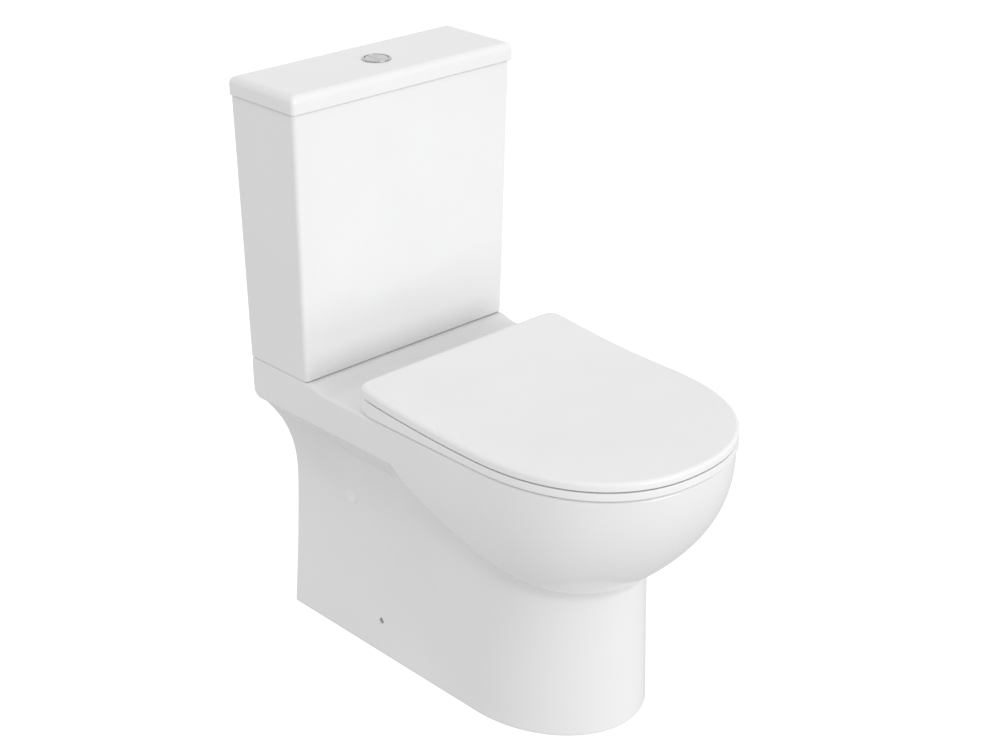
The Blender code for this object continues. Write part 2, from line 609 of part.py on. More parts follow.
def make_seat(plastic, rubber):
    """The seat ring, notched for the hinge posts, with bores for the pins and buffers underneath."""
    hinge = pivot("seat_hinge_axis", at(0, HINGE_D, HINGE_Z))

    def edge(d):
        """Rounding of the outer edge, larger at the hinge so that the lid can turn past it."""
        t = min(1.0, max(0.0, (d - 0.228) / 0.020))
        return SEAT_BACK_EDGE + (SEAT_EDGE - SEAT_BACK_EDGE) * t

    def top(d):
        return seat_gap(d) - SEAT_LID_GAP / 2

    def outer(in_share, height):
        return seat_ring_points(lambda d: in_share * edge(d), height)

    rings = [
        outer(1.0, lambda d: SEAT_BOTTOM),
        outer(0.3, lambda d: SEAT_BOTTOM + 0.3 * edge(d)),
        outer(0.0, lambda d: SEAT_BOTTOM + edge(d)),
        outer(0.0, lambda d: top(d) - edge(d)),
        outer(0.3, lambda d: top(d) - 0.3 * edge(d)),
        outer(1.0, top),
        seat_hole_points(0.006, top),
        seat_hole_points(0.0, lambda d: top(d) - 0.004),
        seat_hole_points(0.0, lambda d: SEAT_BOTTOM + 0.001),
        seat_hole_points(0.001, lambda d: SEAT_BOTTOM),
    ]
    seat = piece("seat_ring", loft(rings, "loop"), plastic, hinge)
    for side in (-1, 1):
        cut(seat, box(sorted((side * (HINGE_X - 0.012), side * (HINGE_X + 0.024))),
                      (0.210, HINGE_D + 0.0125), (0.395, 0.435)),
            rod(0.0044, *sorted((side * 0.0495, side * 0.1155)), (0, HINGE_D, HINGE_Z), "X"))
    for name, x, d in (("back", 0.145, 0.340), ("front", 0.130, 0.540)):
        for side, hand in ((-1, "left"), (1, "right")):
            cut(seat, rod(0.0083, 0.395, 0.4053, (side * x, d, 0)))
            buffer = rod(0.008, RIM + GAP, 0.4050, (side * x, d, 0))
            piece(f"seat_buffer_{name}_{hand}", buffer, rubber, hinge)


def make_lid(plastic, rubber):
    """The lid: a shell with a shallow hollow underneath, and an ear on each hinge pin."""
    hinge = pivot("lid_hinge_axis", at(0, HINGE_D, HINGE_Z))

    def under(inset, up):
        return seat_ring_points(lambda d: inset, lambda d: seat_gap(d) + SEAT_LID_GAP / 2 + up)

    def over(inset, down):
        return seat_ring_points(lambda d: inset, lambda d: lid_top(d) - down)

    rings = [under(0.020, 0.0055), under(0.018, 0.0), under(0.0015, 0.0), under(0.0, 0.0015)]
    for k in range(4):
        a = math.radians(30 * k)
        rings.append(over(LID_EDGE * (1 - math.cos(a)), LID_EDGE * (1 - math.sin(a))))
    lid = piece("seat_lid", loft(rings, "across", 4), plastic, hinge)
    for side, hand in ((-1, "left"), (1, "right")):
        ear = sorted((side * (HINGE_X + 0.0125), side * (HINGE_X + 0.0215)))
        join(lid, box(ear, (HINGE_D - 0.005, HINGE_D + 0.005), (HINGE_Z, 0.4285)),
             rod(0.008, *ear, (0, HINGE_D, HINGE_Z), "X"))
        cut(lid, rod(0.0044, ear[0] - 0.002, ear[1] + 0.002, (0, HINGE_D, HINGE_Z), "X"))
        piece(f"lid_buffer_{hand}", rod(0.007, 0.4131, 0.4198, (side * 0.130, 0.500, 0)), rubber, hinge)


def make_hinge(side, hand, plastic, steel):
    """A post with a round head, bolted to the deck, and the pin that seat and lid turn on."""
    x = side * HINGE_X
    radius = 0.008
    turn = [math.pi * k / 8 for k in range(9)]
    head = [(-radius * math.cos(a), HINGE_Z + radius * math.sin(a)) for a in turn]
    outline = [(-radius, RIM + GAP), *head, (radius, RIM + GAP)]
    post = piece(f"hinge_post_{hand}", loft([[at(x + s * 0.010, HINGE_D + d, z) for d, z in outline]
                                             for s in (-1, 1)]), plastic)
    cut(post, rod(0.0043, x - 0.012, x + 0.012, (0, HINGE_D, HINGE_Z), "X"),
        rod(0.0033, 0.39, 0.4105, (x, HINGE_D, 0), sides=12))
    pin = rod(0.004, *sorted((side * 0.0505, side * 0.1145)), (0, HINGE_D, HINGE_Z), "X")
    piece(f"hinge_pin_{hand}", pin, steel)
    piece(f"hinge_stud_{hand}", rod(0.003, 0.364, 0.4100, (x, HINGE_D, 0)), steel)
    piece(f"hinge_nut_{hand}", turned([(0.0033, 0.3705), (0.006, 0.3705), (0.006, 0.3805), (0.011, 0.3805),
                                       (0.011, 0.3840), (0.0033, 0.3840)], (x, HINGE_D, 0)), plastic)


# ---- floor fixing and outlet ----
def make_floor_fixing(side, hand, plastic, steel):
    """Bracket inside the plinth, the screw that holds the casting to it, and the round cap above."""
    inner = side * 0.1010
    block = box(sorted((inner, inner - side * 0.030)), (SCREW_D - 0.020, SCREW_D + 0.020), (0.0, 0.064))
    bracket = piece(f"floor_bracket_{hand}", block, plastic)
    bore = sorted((inner + side * 0.010, inner - side * 0.015))
    cut(bracket, rod(0.0035, *bore, (0, SCREW_D, SCREW_Z), "X"))
    length = sorted((side * 0.0875, side * 0.1165))
    piece(f"floor_screw_{hand}", rod(0.003, *length, (0, SCREW_D, SCREW_Z), "X", 12), steel)
    profile = [(0, side * 0.092), (0.006, side * 0.092), (0.006, side * 0.1068), (CAP_R, side * 0.1068),
               (CAP_R, side * 0.1092), (CAP_R - 0.001, side * 0.1098), (0, side * 0.1098)]
    piece(f"side_cap_{hand}", turned(profile, (0, CAP_D, CAP_Z), "X"), plastic)


def make_outlet(rubber):
    """Flexible connector pushed over the spigot, ending at the wall."""
    spigot = OUTLET_R + 0.009
    piece("outlet_connector", turned([
        (spigot + 0.001, 0.075), (spigot + 0.006, 0.075), (spigot + 0.006, 0.0), (0.045, 0.0),
        (0.045, 0.041), (spigot + 0.001, 0.041)], (0, 0, OUTLET_Z), "Y", ROUND), rubber)


def main():
    for obj in list(bpy.data.objects):
        bpy.data.objects.remove(obj, do_unlink=True)
    china = finish("white_china", (0.86, 0.86, 0.86), 0.08)
    seat_white = finish("white_seat_plastic", (0.88, 0.88, 0.88), 0.15)
    plastic = finish("grey_plastic", (0.55, 0.57, 0.60), 0.4)
    rubber = finish("black_rubber", (0.03, 0.03, 0.03), 0.8)
    chrome = finish("chrome", (0.75, 0.75, 0.77), 0.08, 1.0)
    steel = finish("stainless_steel", (0.6, 0.6, 0.62), 0.3, 1.0)
    brass = finish("brass", (0.72, 0.55, 0.25), 0.35, 1.0)

    make_pan(china)
    make_tank(china)
    cover_lift = pivot("cistern_lid_axis", at(0, VALVE_D, LID_BOTTOM))
    make_cistern_lid(china, chrome, plastic, cover_lift)
    for name, side in (("full_flush_button", 1), ("half_flush_button", -1)):
        travel = pivot(f"{name}_axis", at(0, VALVE_D, HEIGHT))
        make_button(name, side, chrome, plastic, travel)
        make_lever(side, plastic)
    make_flush_valve(plastic, rubber, steel)
    make_overflow(plastic, rubber)
    make_fill_valve(plastic, rubber, steel, brass)
    make_seat(seat_white, rubber)
    make_lid(seat_white, rubber)
    for side, hand in ((-1, "left"), (1, "right")):
        make_coupling(side, hand, rubber, steel, brass)
        make_hinge(side, hand, plastic, steel)
        make_floor_fixing(side, hand, plastic, steel)
    make_outlet(rubber)


main()
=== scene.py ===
"""Fine surfaces and finishes for the close coupled toilet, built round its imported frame.

Places are (x, d, z): x to the right seen from the front, d out from the wall, z up, in metres.
"""

import json
import math

import bmesh
import bpy
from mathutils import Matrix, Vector

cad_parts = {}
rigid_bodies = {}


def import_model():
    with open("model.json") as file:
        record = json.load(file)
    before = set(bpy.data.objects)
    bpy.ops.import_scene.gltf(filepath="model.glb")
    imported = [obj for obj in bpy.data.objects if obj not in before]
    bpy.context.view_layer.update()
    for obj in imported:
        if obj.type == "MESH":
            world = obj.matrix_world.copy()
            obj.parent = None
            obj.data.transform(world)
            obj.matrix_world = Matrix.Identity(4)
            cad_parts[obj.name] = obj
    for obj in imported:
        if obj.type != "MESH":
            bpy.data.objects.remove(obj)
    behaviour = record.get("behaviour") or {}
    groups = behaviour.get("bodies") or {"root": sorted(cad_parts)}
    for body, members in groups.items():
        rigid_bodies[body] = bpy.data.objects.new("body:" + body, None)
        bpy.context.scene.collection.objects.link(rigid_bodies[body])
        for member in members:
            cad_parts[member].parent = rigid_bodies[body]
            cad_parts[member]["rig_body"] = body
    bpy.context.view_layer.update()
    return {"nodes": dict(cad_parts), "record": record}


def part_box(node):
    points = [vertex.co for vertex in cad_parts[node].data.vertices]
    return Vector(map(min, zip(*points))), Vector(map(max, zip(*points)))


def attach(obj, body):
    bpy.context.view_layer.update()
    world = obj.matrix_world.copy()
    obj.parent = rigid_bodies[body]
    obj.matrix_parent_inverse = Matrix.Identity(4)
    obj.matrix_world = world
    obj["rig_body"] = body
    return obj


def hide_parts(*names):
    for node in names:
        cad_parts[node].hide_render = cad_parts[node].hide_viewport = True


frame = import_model()

# ---- places and sizes read from the frame ----
PAN_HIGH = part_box("pan")[1]
TANK_LOW, TANK_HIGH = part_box("cistern_tank")
COVER_LOW, COVER_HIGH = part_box("cistern_lid")
SEAT_LOW, SEAT_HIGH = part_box("seat_ring")
BACK = PAN_HIGH.y  # the wall
DECK = PAN_HIGH.z
RIM_HALF = PAN_HIGH.x
VALVE_D = BACK - sum(c.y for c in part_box("button_collar")) / 2
HINGE_LOW, HINGE_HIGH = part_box("hinge_pin_right")
HINGE_X = (HINGE_LOW.x + HINGE_HIGH.x) / 2
HINGE_D, HINGE_Z = BACK - (HINGE_LOW.y + HINGE_HIGH.y) / 2, (HINGE_LOW.z + HINGE_HIGH.z) / 2
HAND = {-1: "left", 1: "right"}

# ---- shape of the pan ----
RIM = 0.4003
CHINA = 0.012
RIM_CENTRE, RIM_NOSE, RIM_POWER = 0.440, 0.2105, 2.26
FOOT_HALF, FOOT_CENTRE, FOOT_NOSE = 0.123, 0.388, 0.1537
WAIST_BACK, WAIST_FRONT = 0.208, 0.197
BULGE_BACK, BULGE_FRONT = (0.210, 3.0), (0.192, 2.3)
FLARE_BACK, FLARE_FRONT = 0.0145, 0.003
EDGE_BACK, EDGE_FRONT, EDGE_TURN = 0.3475, 0.2190, 0.285
EDGE_EASE = 0.03  # how gently that edge starts to fall
RIM_ROUND = 0.004
HOLLOW_FULL, HOLLOW_CLOSING, HOLLOW_END = 0.16, 0.250, 0.335  # along the band, out from the wall
HOLLOW_HEIGHT, HOLLOW_DEPTH = 0.40, 0.78  # of the way down and of the way in to the waist
LIP = 0.003  # how far the band's edge overhangs the hollow
LEDGE_START, LEDGE_LENGTH = 0.1290, 0.030
BOWL_HALF, BOWL_LONG, BOWL_CENTRE = 0.125, 0.155, 0.445
OUTLET_Z, OUTLET_R, TRAP_WALL = 0.190, 0.040, 0.009
WAY_Z, WAY_R, WAY_WALL = 0.342, 0.022, 0.010  # the flush way from the inlet to the bowl
RECESS_R = 0.0435  # round the doughnut seal
BOLT_HOLE_R, SCREW_HOLE_R, CAP_HOLE_R, TAIL_HOLE_R = 0.005, 0.0045, 0.0064, 0.022

# ---- shape of the cistern ----
TANK_HALF_LOW, TANK_DEPTH_LOW, TANK_FLOOR = 0.1765, 0.1205, 0.4185
TANK_WALL, TANK_CORNER = 0.010, 0.006
COVER_BOTTOM, COVER_CORNER = 0.775, 0.006

# ---- shape of the seat ----
SEAT_HALF, SEAT_CENTRE, SEAT_BACK, SEAT_NOSE = SEAT_HIGH.x, 0.440, 0.218, 0.213
SEAT_HOLE_HALF, SEAT_HOLE_LONG, SEAT_HOLE_POWER = 0.108, 0.150, 2.2
SEAT_BACK_POWER = 24.0
SEAT_BOTTOM = SEAT_LOW.z
SEAT_LID_GAP, LID_EDGE = 0.0018, 0.005
SEAT_TOP, SEAT_TOP_RISE = 0.4137, 0.0115  # the seat's top at its middle, and how much it rises behind
LID_TOP, LID_TOP_RISE = 0.4265, 0.0145
RISE_LENGTH = 0.210  # from the seat's middle back to where both stand highest
PIN_BORE_R, POST_BORE_R, STUD_BORE_R = 0.0044, 0.0043, 0.0033
LEVER_BORE_R, ARM_BORE_R = 0.0023, 0.0018

FINE = 64  # sides of a small round piece

# ---- light and camera ----
LIGHT_BELOW, LIGHT_ABOVE, LIGHT_LEVEL = 0.50, 0.955, 0.25  # strengths, and the height they level off at
KEY_STRENGTH, KEY_DIRECTION, KEY_ANGLE = 1.13, (-0.14, 1.0, -0.12), 40
FLOOR_REACH, FLOOR_SHADE, FLOOR_GLOW = 20.0, 0.20, 0.93
CAMERA_PLACE, CAMERA_LENS, SENSOR = (-1.558, -1.619, 1.480), 68.94, 36.0
CAMERA_TILT, CAMERA_TURN = 65.0, -43.5


# ---- mesh helpers ----
def at(x, d, z):
    """The point x to the right, d out from the wall and z above the floor."""
    return Vector((x, BACK - d, z))


def middle(node):
    """The centre of a CAD node's box as (x, d, z)."""
    low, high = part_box(node)
    centre = (low + high) / 2
    return centre.x, BACK - centre.y, centre.z


def arc(steps, start=0.0, end=90.0):
    return [math.radians(start + (end - start) * k / steps) for k in range(steps + 1)]


def smoothstep(t):
    t = min(1.0, max(0.0, t))
    return t * t * (3 - 2 * t)


def rounded(profile, radius, steps=4):
    """A closed profile with every corner rounded, apart from corners on the axis."""
    out = []
    count = len(profile)
    for k, corner in enumerate(profile):
        before, here, after = (Vector((*p, 0)) for p in (profile[k - 1], corner, profile[(k + 1) % count]))
        reach = min(radius, (before - here).length * 0.45, (after - here).length * 0.45)
        if corner[0] < 1e-6 or reach < 1e-5:
            out.append(tuple(corner))
            continue
        a, b = here + (before - here).normalized() * reach, here + (after - here).normalized() * reach
        for s in range(steps + 1):
            t = s / steps
            p = a * (1 - t) ** 2 + here * 2 * t * (1 - t) + b * t * t
            out.append((p.x, p.y))
    return out


def turned(profile, centre, axis="Z", sides=FINE):
    """A closed body of revolution. profile is a loop of (radius, height) and centre is (x, d, z)."""
    bm = bmesh.new()
    rings = []
    for radius, height in profile:
        ring = []
        for k in range(sides):
            a = 2 * math.pi * k / sides
            u, v = radius * math.cos(a), radius * math.sin(a)
            step = {"Z": (u, v, height), "X": (height, u, v), "Y": (v, height, u)}[axis]
            if radius < 1e-7 and ring:
                ring.append(ring[0])
            else:
                ring.append(bm.verts.new(at(*(c + s for c, s in zip(centre, step)))))
        rings.append(ring)
    for low, high in zip(rings, rings[1:] + rings[:1]):
        for k in range(sides):
            n = (k + 1) % sides
            corners = list(dict.fromkeys((low[k], low[n], high[n], high[k])))
            if len(corners) > 2:
                bm.faces.new(corners)
    bmesh.ops.recalc_face_normals(bm, faces=bm.faces)
    return bm


def rod(radius, low, high, centre, axis="Z", sides=FINE):
    return turned([(0, low), (radius, low), (radius, high), (0, high)], centre, axis, sides)


def bar(x, d, z, radius=0.0006):
    """A closed bar from three (low, high) pairs, with all its edges rounded."""
    bm = bmesh.new()
    verts = [bm.verts.new(at(i, j, k)) for k in sorted(z) for j in sorted(d) for i in sorted(x)]
    for face in ((0, 1, 3, 2), (4, 6, 7, 5), (0, 4, 5, 1), (2, 3, 7, 6), (0, 2, 6, 4), (1, 5, 7, 3)):
        bm.faces.new([verts[i] for i in face])
    bmesh.ops.recalc_face_normals(bm, faces=bm.faces)
    if radius:
        bmesh.ops.bevel(bm, geom=bm.edges, offset=radius, segments=3, profile=0.5, affect="EDGES")
    return bm


def loft(rings, ends="ngon"):
    """Skins rings of equal count. ends: ngon or across (rungs between the left and right half) closes
    both ends, and loop joins the last ring to the first."""
    bm = bmesh.new()
    skins = [[bm.verts.new(p) for p in ring] for ring in rings]
    count = len(skins[0])
    pairs = list(zip(skins, skins[1:]))
    if ends == "loop":
        pairs.append((skins[-1], skins[0]))
    for low, high in pairs:
        for k in range(count):
            n = (k + 1) % count
            bm.faces.new((low[k], low[n], high[n], high[k]))
    for ring in (skins[0], skins[-1]) if ends != "loop" else ():
        if ends == "ngon":
            bm.faces.new(ring)
        else:
            for k in range(count // 2 - 1):
                bm.faces.new((ring[k], ring[k + 1], ring[count - 2 - k], ring[count - 1 - k]))
    bmesh.ops.recalc_face_normals(bm, faces=bm.faces)
    return bm


def tube(path, radius, sides=48):
    """A round bar along (d, z) points in the plane x = 0."""
    rings = []
    for k, (d, z) in enumerate(path):
        d0, z0 = path[max(k - 1, 0)]
        d1, z1 = path[min(k + 1, len(path) - 1)]
        length = math.hypot(d1 - d0, z1 - z0)
        nd, nz = -(z1 - z0) / length, (d1 - d0) / length
        rings.append([
            at(radius * math.cos(a), d + nd * radius * math.sin(a), z + nz * radius * math.sin(a))
            for a in (2 * math.pi * s / sides for s in range(sides))
        ])
    return loft(rings)


def curve_through(points, steps):
    """A smooth Catmull-Rom curve through points of any dimension."""
    ends = [points[0], *points, points[-1]]
    out = []
    for p0, p1, p2, p3 in zip(ends, ends[1:], ends[2:], ends[3:]):
        for k in range(steps):
            t = k / steps
            out.append(tuple(
                0.5 * (2 * b + (c - a) * t + (2 * a - 5 * b + 4 * c - e) * t**2
                       + (3 * b - a - 3 * c + e) * t**3)
                for a, b, c, e in zip(p0, p1, p2, p3)
            ))
    return [*out, tuple(points[-1])]


# ---- object helpers ----
def link_mesh(name, bm):
    mesh = bpy.data.meshes.new(name)
    bm.to_mesh(mesh)
    bm.free()
    obj = bpy.data.objects.new(name, mesh)
    bpy.context.scene.collection.objects.link(obj)
    return obj


def carve(obj, cuts=(), joins=(), crossing=False):
    """Applies Booleans with the given shapes, and leaves no helper behind. crossing is for shapes whose
    own faces may touch or cross."""
    helpers = []
    for operation, shapes in (("UNION", joins), ("DIFFERENCE", cuts)):
        for shape in shapes:
            helper = shape if isinstance(shape, bpy.types.Object) else link_mesh("helper", shape)
            helpers.append(helper)
            modifier = obj.modifiers.new(operation, "BOOLEAN")
            modifier.operation = operation
            modifier.solver = "EXACT"
            modifier.object = helper
            modifier.use_self = crossing
    graph = bpy.context.evaluated_depsgraph_get()
    mesh = bpy.data.meshes.new_from_object(obj.evaluated_get(graph))
    obj.modifiers.clear()
    old, obj.data = obj.data, mesh
    bpy.data.meshes.remove(old)
    for helper in helpers:
        mesh = helper.data
        bpy.data.objects.remove(helper)
        bpy.data.meshes.remove(mesh)
    return obj


def show(obj, material, body, slot, *nodes, sharp=35):
    """Shades a finished piece, and lets it stand for its CAD nodes."""
    obj.data.materials.clear()
    obj.data.materials.append(material)
    obj.data.shade_smooth()
    obj.data.set_sharp_from_angle(angle=math.radians(sharp))
    normals = obj.modifiers.new("flat faces stay flat", "WEIGHTED_NORMAL")
    normals.keep_sharp = True
    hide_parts(*nodes)
    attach(obj, body)
    return obj


# ---- finishes ----
def shader_of(name, **inputs):
    material = bpy.data.materials.new(name)
    material.use_nodes = True
    shader = material.node_tree.nodes["Principled BSDF"]
    for key, value in inputs.items():
        shader.inputs[key.replace("_", " ")].default_value = value
    return material, shader


def noise(material, scale, detail=2.0, stretch=(1, 1, 1)):
    """Noise in the piece's own coordinates, in metres."""
    tree = material.node_tree
    place = tree.nodes.new("ShaderNodeTexCoord")
    mapping = tree.nodes.new("ShaderNodeMapping")
    mapping.inputs["Scale"].default_value = stretch
    texture = tree.nodes.new("ShaderNodeTexNoise")
    texture.inputs["Scale"].default_value = scale
    texture.inputs["Detail"].default_value = detail
    tree.links.new(place.outputs["Object"], mapping.inputs["Vector"])
    tree.links.new(mapping.outputs["Vector"], texture.inputs["Vector"])
    return texture.outputs["Fac"]


def map_range(tree, source, *limits):
    """The source, mapped from between the first two limits to between the last two."""
    node = tree.nodes.new("ShaderNodeMapRange")
    for socket, value in zip(("From Min", "From Max", "To Min", "To Max"), limits):
        node.inputs[socket].default_value = value
    tree.links.new(source, node.inputs["Value"])
    return node.outputs["Result"]


def spread(material, source, low, high, target):
    """Drives a shader input between low and high by a noise."""
    tree = material.node_tree
    tree.links.new(map_range(tree, source, 0.3, 0.7, low, high), target)


def tint(material, source, first, second, target):
    """Drives a colour between two close shades by a noise."""
    tree = material.node_tree
    ramp = tree.nodes.new("ShaderNodeValToRGB")
    for stop, place, colour in zip(ramp.color_ramp.elements, (0.35, 0.65), (first, second)):
        stop.position = place
        stop.color = (*colour, 1.0)
    tree.links.new(source, ramp.inputs["Fac"])
    tree.links.new(ramp.outputs["Color"], target)


def bumps(material, shader, layers):
    """Stacks bump layers of (height source, strength, distance)."""
    tree = material.node_tree
    last = None
    for source, strength, distance in layers:
        bump = tree.nodes.new("ShaderNodeBump")
        bump.inputs["Strength"].default_value = strength
        bump.inputs["Distance"].default_value = distance
        tree.links.new(source, bump.inputs["Height"])
        if last:
            tree.links.new(last, bump.inputs["Normal"])
        last = bump.outputs["Normal"]
    tree.links.new(last, shader.inputs["Normal"])


def bare_foot(material):
    """1 on the lowest millimetres above the floor, with a ragged edge, and 0 above them."""
    tree = material.node_tree
    place = tree.nodes.new("ShaderNodeTexCoord")
    parts = tree.nodes.new("ShaderNodeSeparateXYZ")
    tree.links.new(place.outputs["Object"], parts.inputs["Vector"])
    wander = tree.nodes.new("ShaderNodeMath")
    wander.operation = "MULTIPLY_ADD"
    wander.inputs[1].default_value = 0.0016
    tree.links.new(noise(material, 220.0), wander.inputs[0])
    tree.links.new(parts.outputs["Z"], wander.inputs[2])
    return map_range(tree, wander.outputs["Value"], 0.0022, 0.0028, 1.0, 0.0)


def blend(material, kind, factor, target, bare):
    """Slips a bare value under whatever already drives a shader input."""
    tree = material.node_tree
    source = target.links[0].from_socket
    mix = tree.nodes.new("ShaderNodeMix")
    mix.data_type = kind
    sockets = [socket for socket in mix.inputs if socket.enabled]
    mix_factor, first, second = sockets
    tree.links.new(factor, mix_factor)
    tree.links.new(source, first)
    second.default_value = bare
    tree.links.new(next(socket for socket in mix.outputs if socket.enabled), target)


def glazed_china():
    """Thick white glaze with a faint waviness, bare and chalky where the casting stands on the floor."""
    material, shader = shader_of("glazed_white_china", IOR=1.52, Coat_Weight=0.12, Coat_Roughness=0.05)
    tint(material, noise(material, 7.0), (0.755, 0.757, 0.755), (0.775, 0.777, 0.778),
         shader.inputs["Base Color"])
    spread(material, noise(material, 25.0), 0.07, 0.11, shader.inputs["Roughness"])
    bumps(material, shader, [(noise(material, 16.0, 1.0), 0.05, 0.002),
                             (noise(material, 700.0, 2.0), 0.015, 0.0004)])
    foot = bare_foot(material)
    blend(material, "RGBA", foot, shader.inputs["Base Color"], (0.70, 0.68, 0.64, 1.0))
    blend(material, "FLOAT", foot, shader.inputs["Roughness"], 0.85)
    return material


def seat_plastic():
    """Gloss thermoset with a very fine moulded orange peel."""
    material, shader = shader_of("gloss_white_seat", IOR=1.54)
    tint(material, noise(material, 9.0), (0.790, 0.790, 0.788), (0.805, 0.805, 0.805),
         shader.inputs["Base Color"])
    spread(material, noise(material, 40.0), 0.12, 0.17, shader.inputs["Roughness"])
    bumps(material, shader, [(noise(material, 420.0, 3.0), 0.02, 0.0004)])
    return material


def fittings_plastic():
    """Moulded polypropylene with a faint grain and uneven gloss."""
    material, shader = shader_of("moulded_grey_plastic", IOR=1.49)
    tint(material, noise(material, 60.0, 4.0), (0.56, 0.58, 0.61), (0.62, 0.64, 0.67),
         shader.inputs["Base Color"])
    spread(material, noise(material, 150.0, 3.0), 0.34, 0.50, shader.inputs["Roughness"])
    bumps(material, shader, [(noise(material, 1500.0, 3.0), 0.15, 0.0002)])
    return material


def black_rubber():
    """Matt rubber with a dusty bloom."""
    material, shader = shader_of("black_rubber_seal", IOR=1.5)
    tint(material, noise(material, 120.0, 5.0), (0.030, 0.030, 0.031), (0.060, 0.060, 0.060),
         shader.inputs["Base Color"])
    spread(material, noise(material, 300.0, 3.0), 0.62, 0.85, shader.inputs["Roughness"])
    bumps(material, shader, [(noise(material, 2500.0, 3.0), 0.25, 0.0002)])
    return material


def metal(name, first, second, smooth, rough, grain, stretch=(1, 1, 1), depth=0.05):
    """A bare metal whose gloss varies along its grain."""
    material, shader = shader_of(name, Metallic=1.0)
    tint(material, noise(material, grain / 4, 3.0), first, second, shader.inputs["Base Color"])
    spread(material, noise(material, grain, 4.0, stretch), smooth, rough, shader.inputs["Roughness"])
    bumps(material, shader, [(noise(material, grain * 2, 3.0, stretch), depth, 0.0002)])
    return material


CHINA_GLAZE = glazed_china()
SEAT_WHITE = seat_plastic()
PLASTIC = fittings_plastic()
RUBBER = black_rubber()
CHROME = metal("polished_chrome", (0.50, 0.50, 0.51), (0.57, 0.57, 0.58), 0.10, 0.20, 300.0)
STEEL = metal("drawn_stainless_steel", (0.56, 0.56, 0.57), (0.66, 0.66, 0.67), 0.22, 0.38, 500.0,
              (1, 12, 12), 0.12)
BRASS = metal("turned_brass", (0.66, 0.48, 0.20), (0.78, 0.60, 0.30), 0.24, 0.42, 500.0, (1, 1, 12), 0.12)
BY_SLOT = {"white_china": CHINA_GLAZE, "white_seat": SEAT_WHITE, "white_cap": SEAT_WHITE, "chrome": CHROME,
           "grey_plastic": PLASTIC, "black_rubber": RUBBER, "stainless_steel": STEEL, "brass": BRASS}


# ---- pan ----
def half_outline(half, centre, nose, power, side, front):
    """Left half of a plan outline, back to front, as (x, d): a straight side, then a rounded nose."""
    corner = 0.002
    points = [(-half + corner * (1 - math.sin(a)), corner * (1 - math.cos(a))) for a in arc(3)]
    points += [(-half, corner + (centre - corner) * k / side) for k in range(1, side)]
    tip = math.pi / 2 * front / (front + 0.5)
    for k in range(front + 1):
        a = tip * k / front
        points.append((-half * math.cos(a) ** (2 / power),
                       centre + nose * (math.sin(a) / math.sin(tip)) ** (2 / power)))
    return points


def mirrored(left):
    return left + [(-p[0], *p[1:]) for p in reversed(left)]


def along_edge(d):
    """0 where the band's lower edge starts to fall, and 1 at the very front."""
    return max(0.0, (d - EDGE_TURN) / (RIM_CENTRE + RIM_NOSE - EDGE_TURN))


def edge_height(d):
    corner = 0.012
    lift = corner - math.sqrt(corner**2 - max(0.0, corner - d) ** 2)
    along = along_edge(d)
    return EDGE_BACK - (EDGE_BACK - EDGE_FRONT) * (along**2 / (along + EDGE_EASE)) ** 0.65 + lift


def hollow_open(d):
    """How far the hollow under the band has opened: none at the wall, all of it beside the trap."""
    closing = smoothstep((d - HOLLOW_CLOSING) / (HOLLOW_END - HOLLOW_CLOSING))
    return min(1.0, d / HOLLOW_FULL) ** 0.7 * (1 - closing)


def ledge(d):
    """How far the deck stands over the rim: level under the cistern, a crisp brow, then a hollow fall."""
    total, samples, spacing = 0.0, 7, 0.0006
    for k in range(samples):
        t = min(1.0, max(0.0, (d + spacing * (k - samples // 2) - LEDGE_START) / LEDGE_LENGTH))
        total += (1 - t) ** 2.4
    return (DECK - RIM) * total / samples


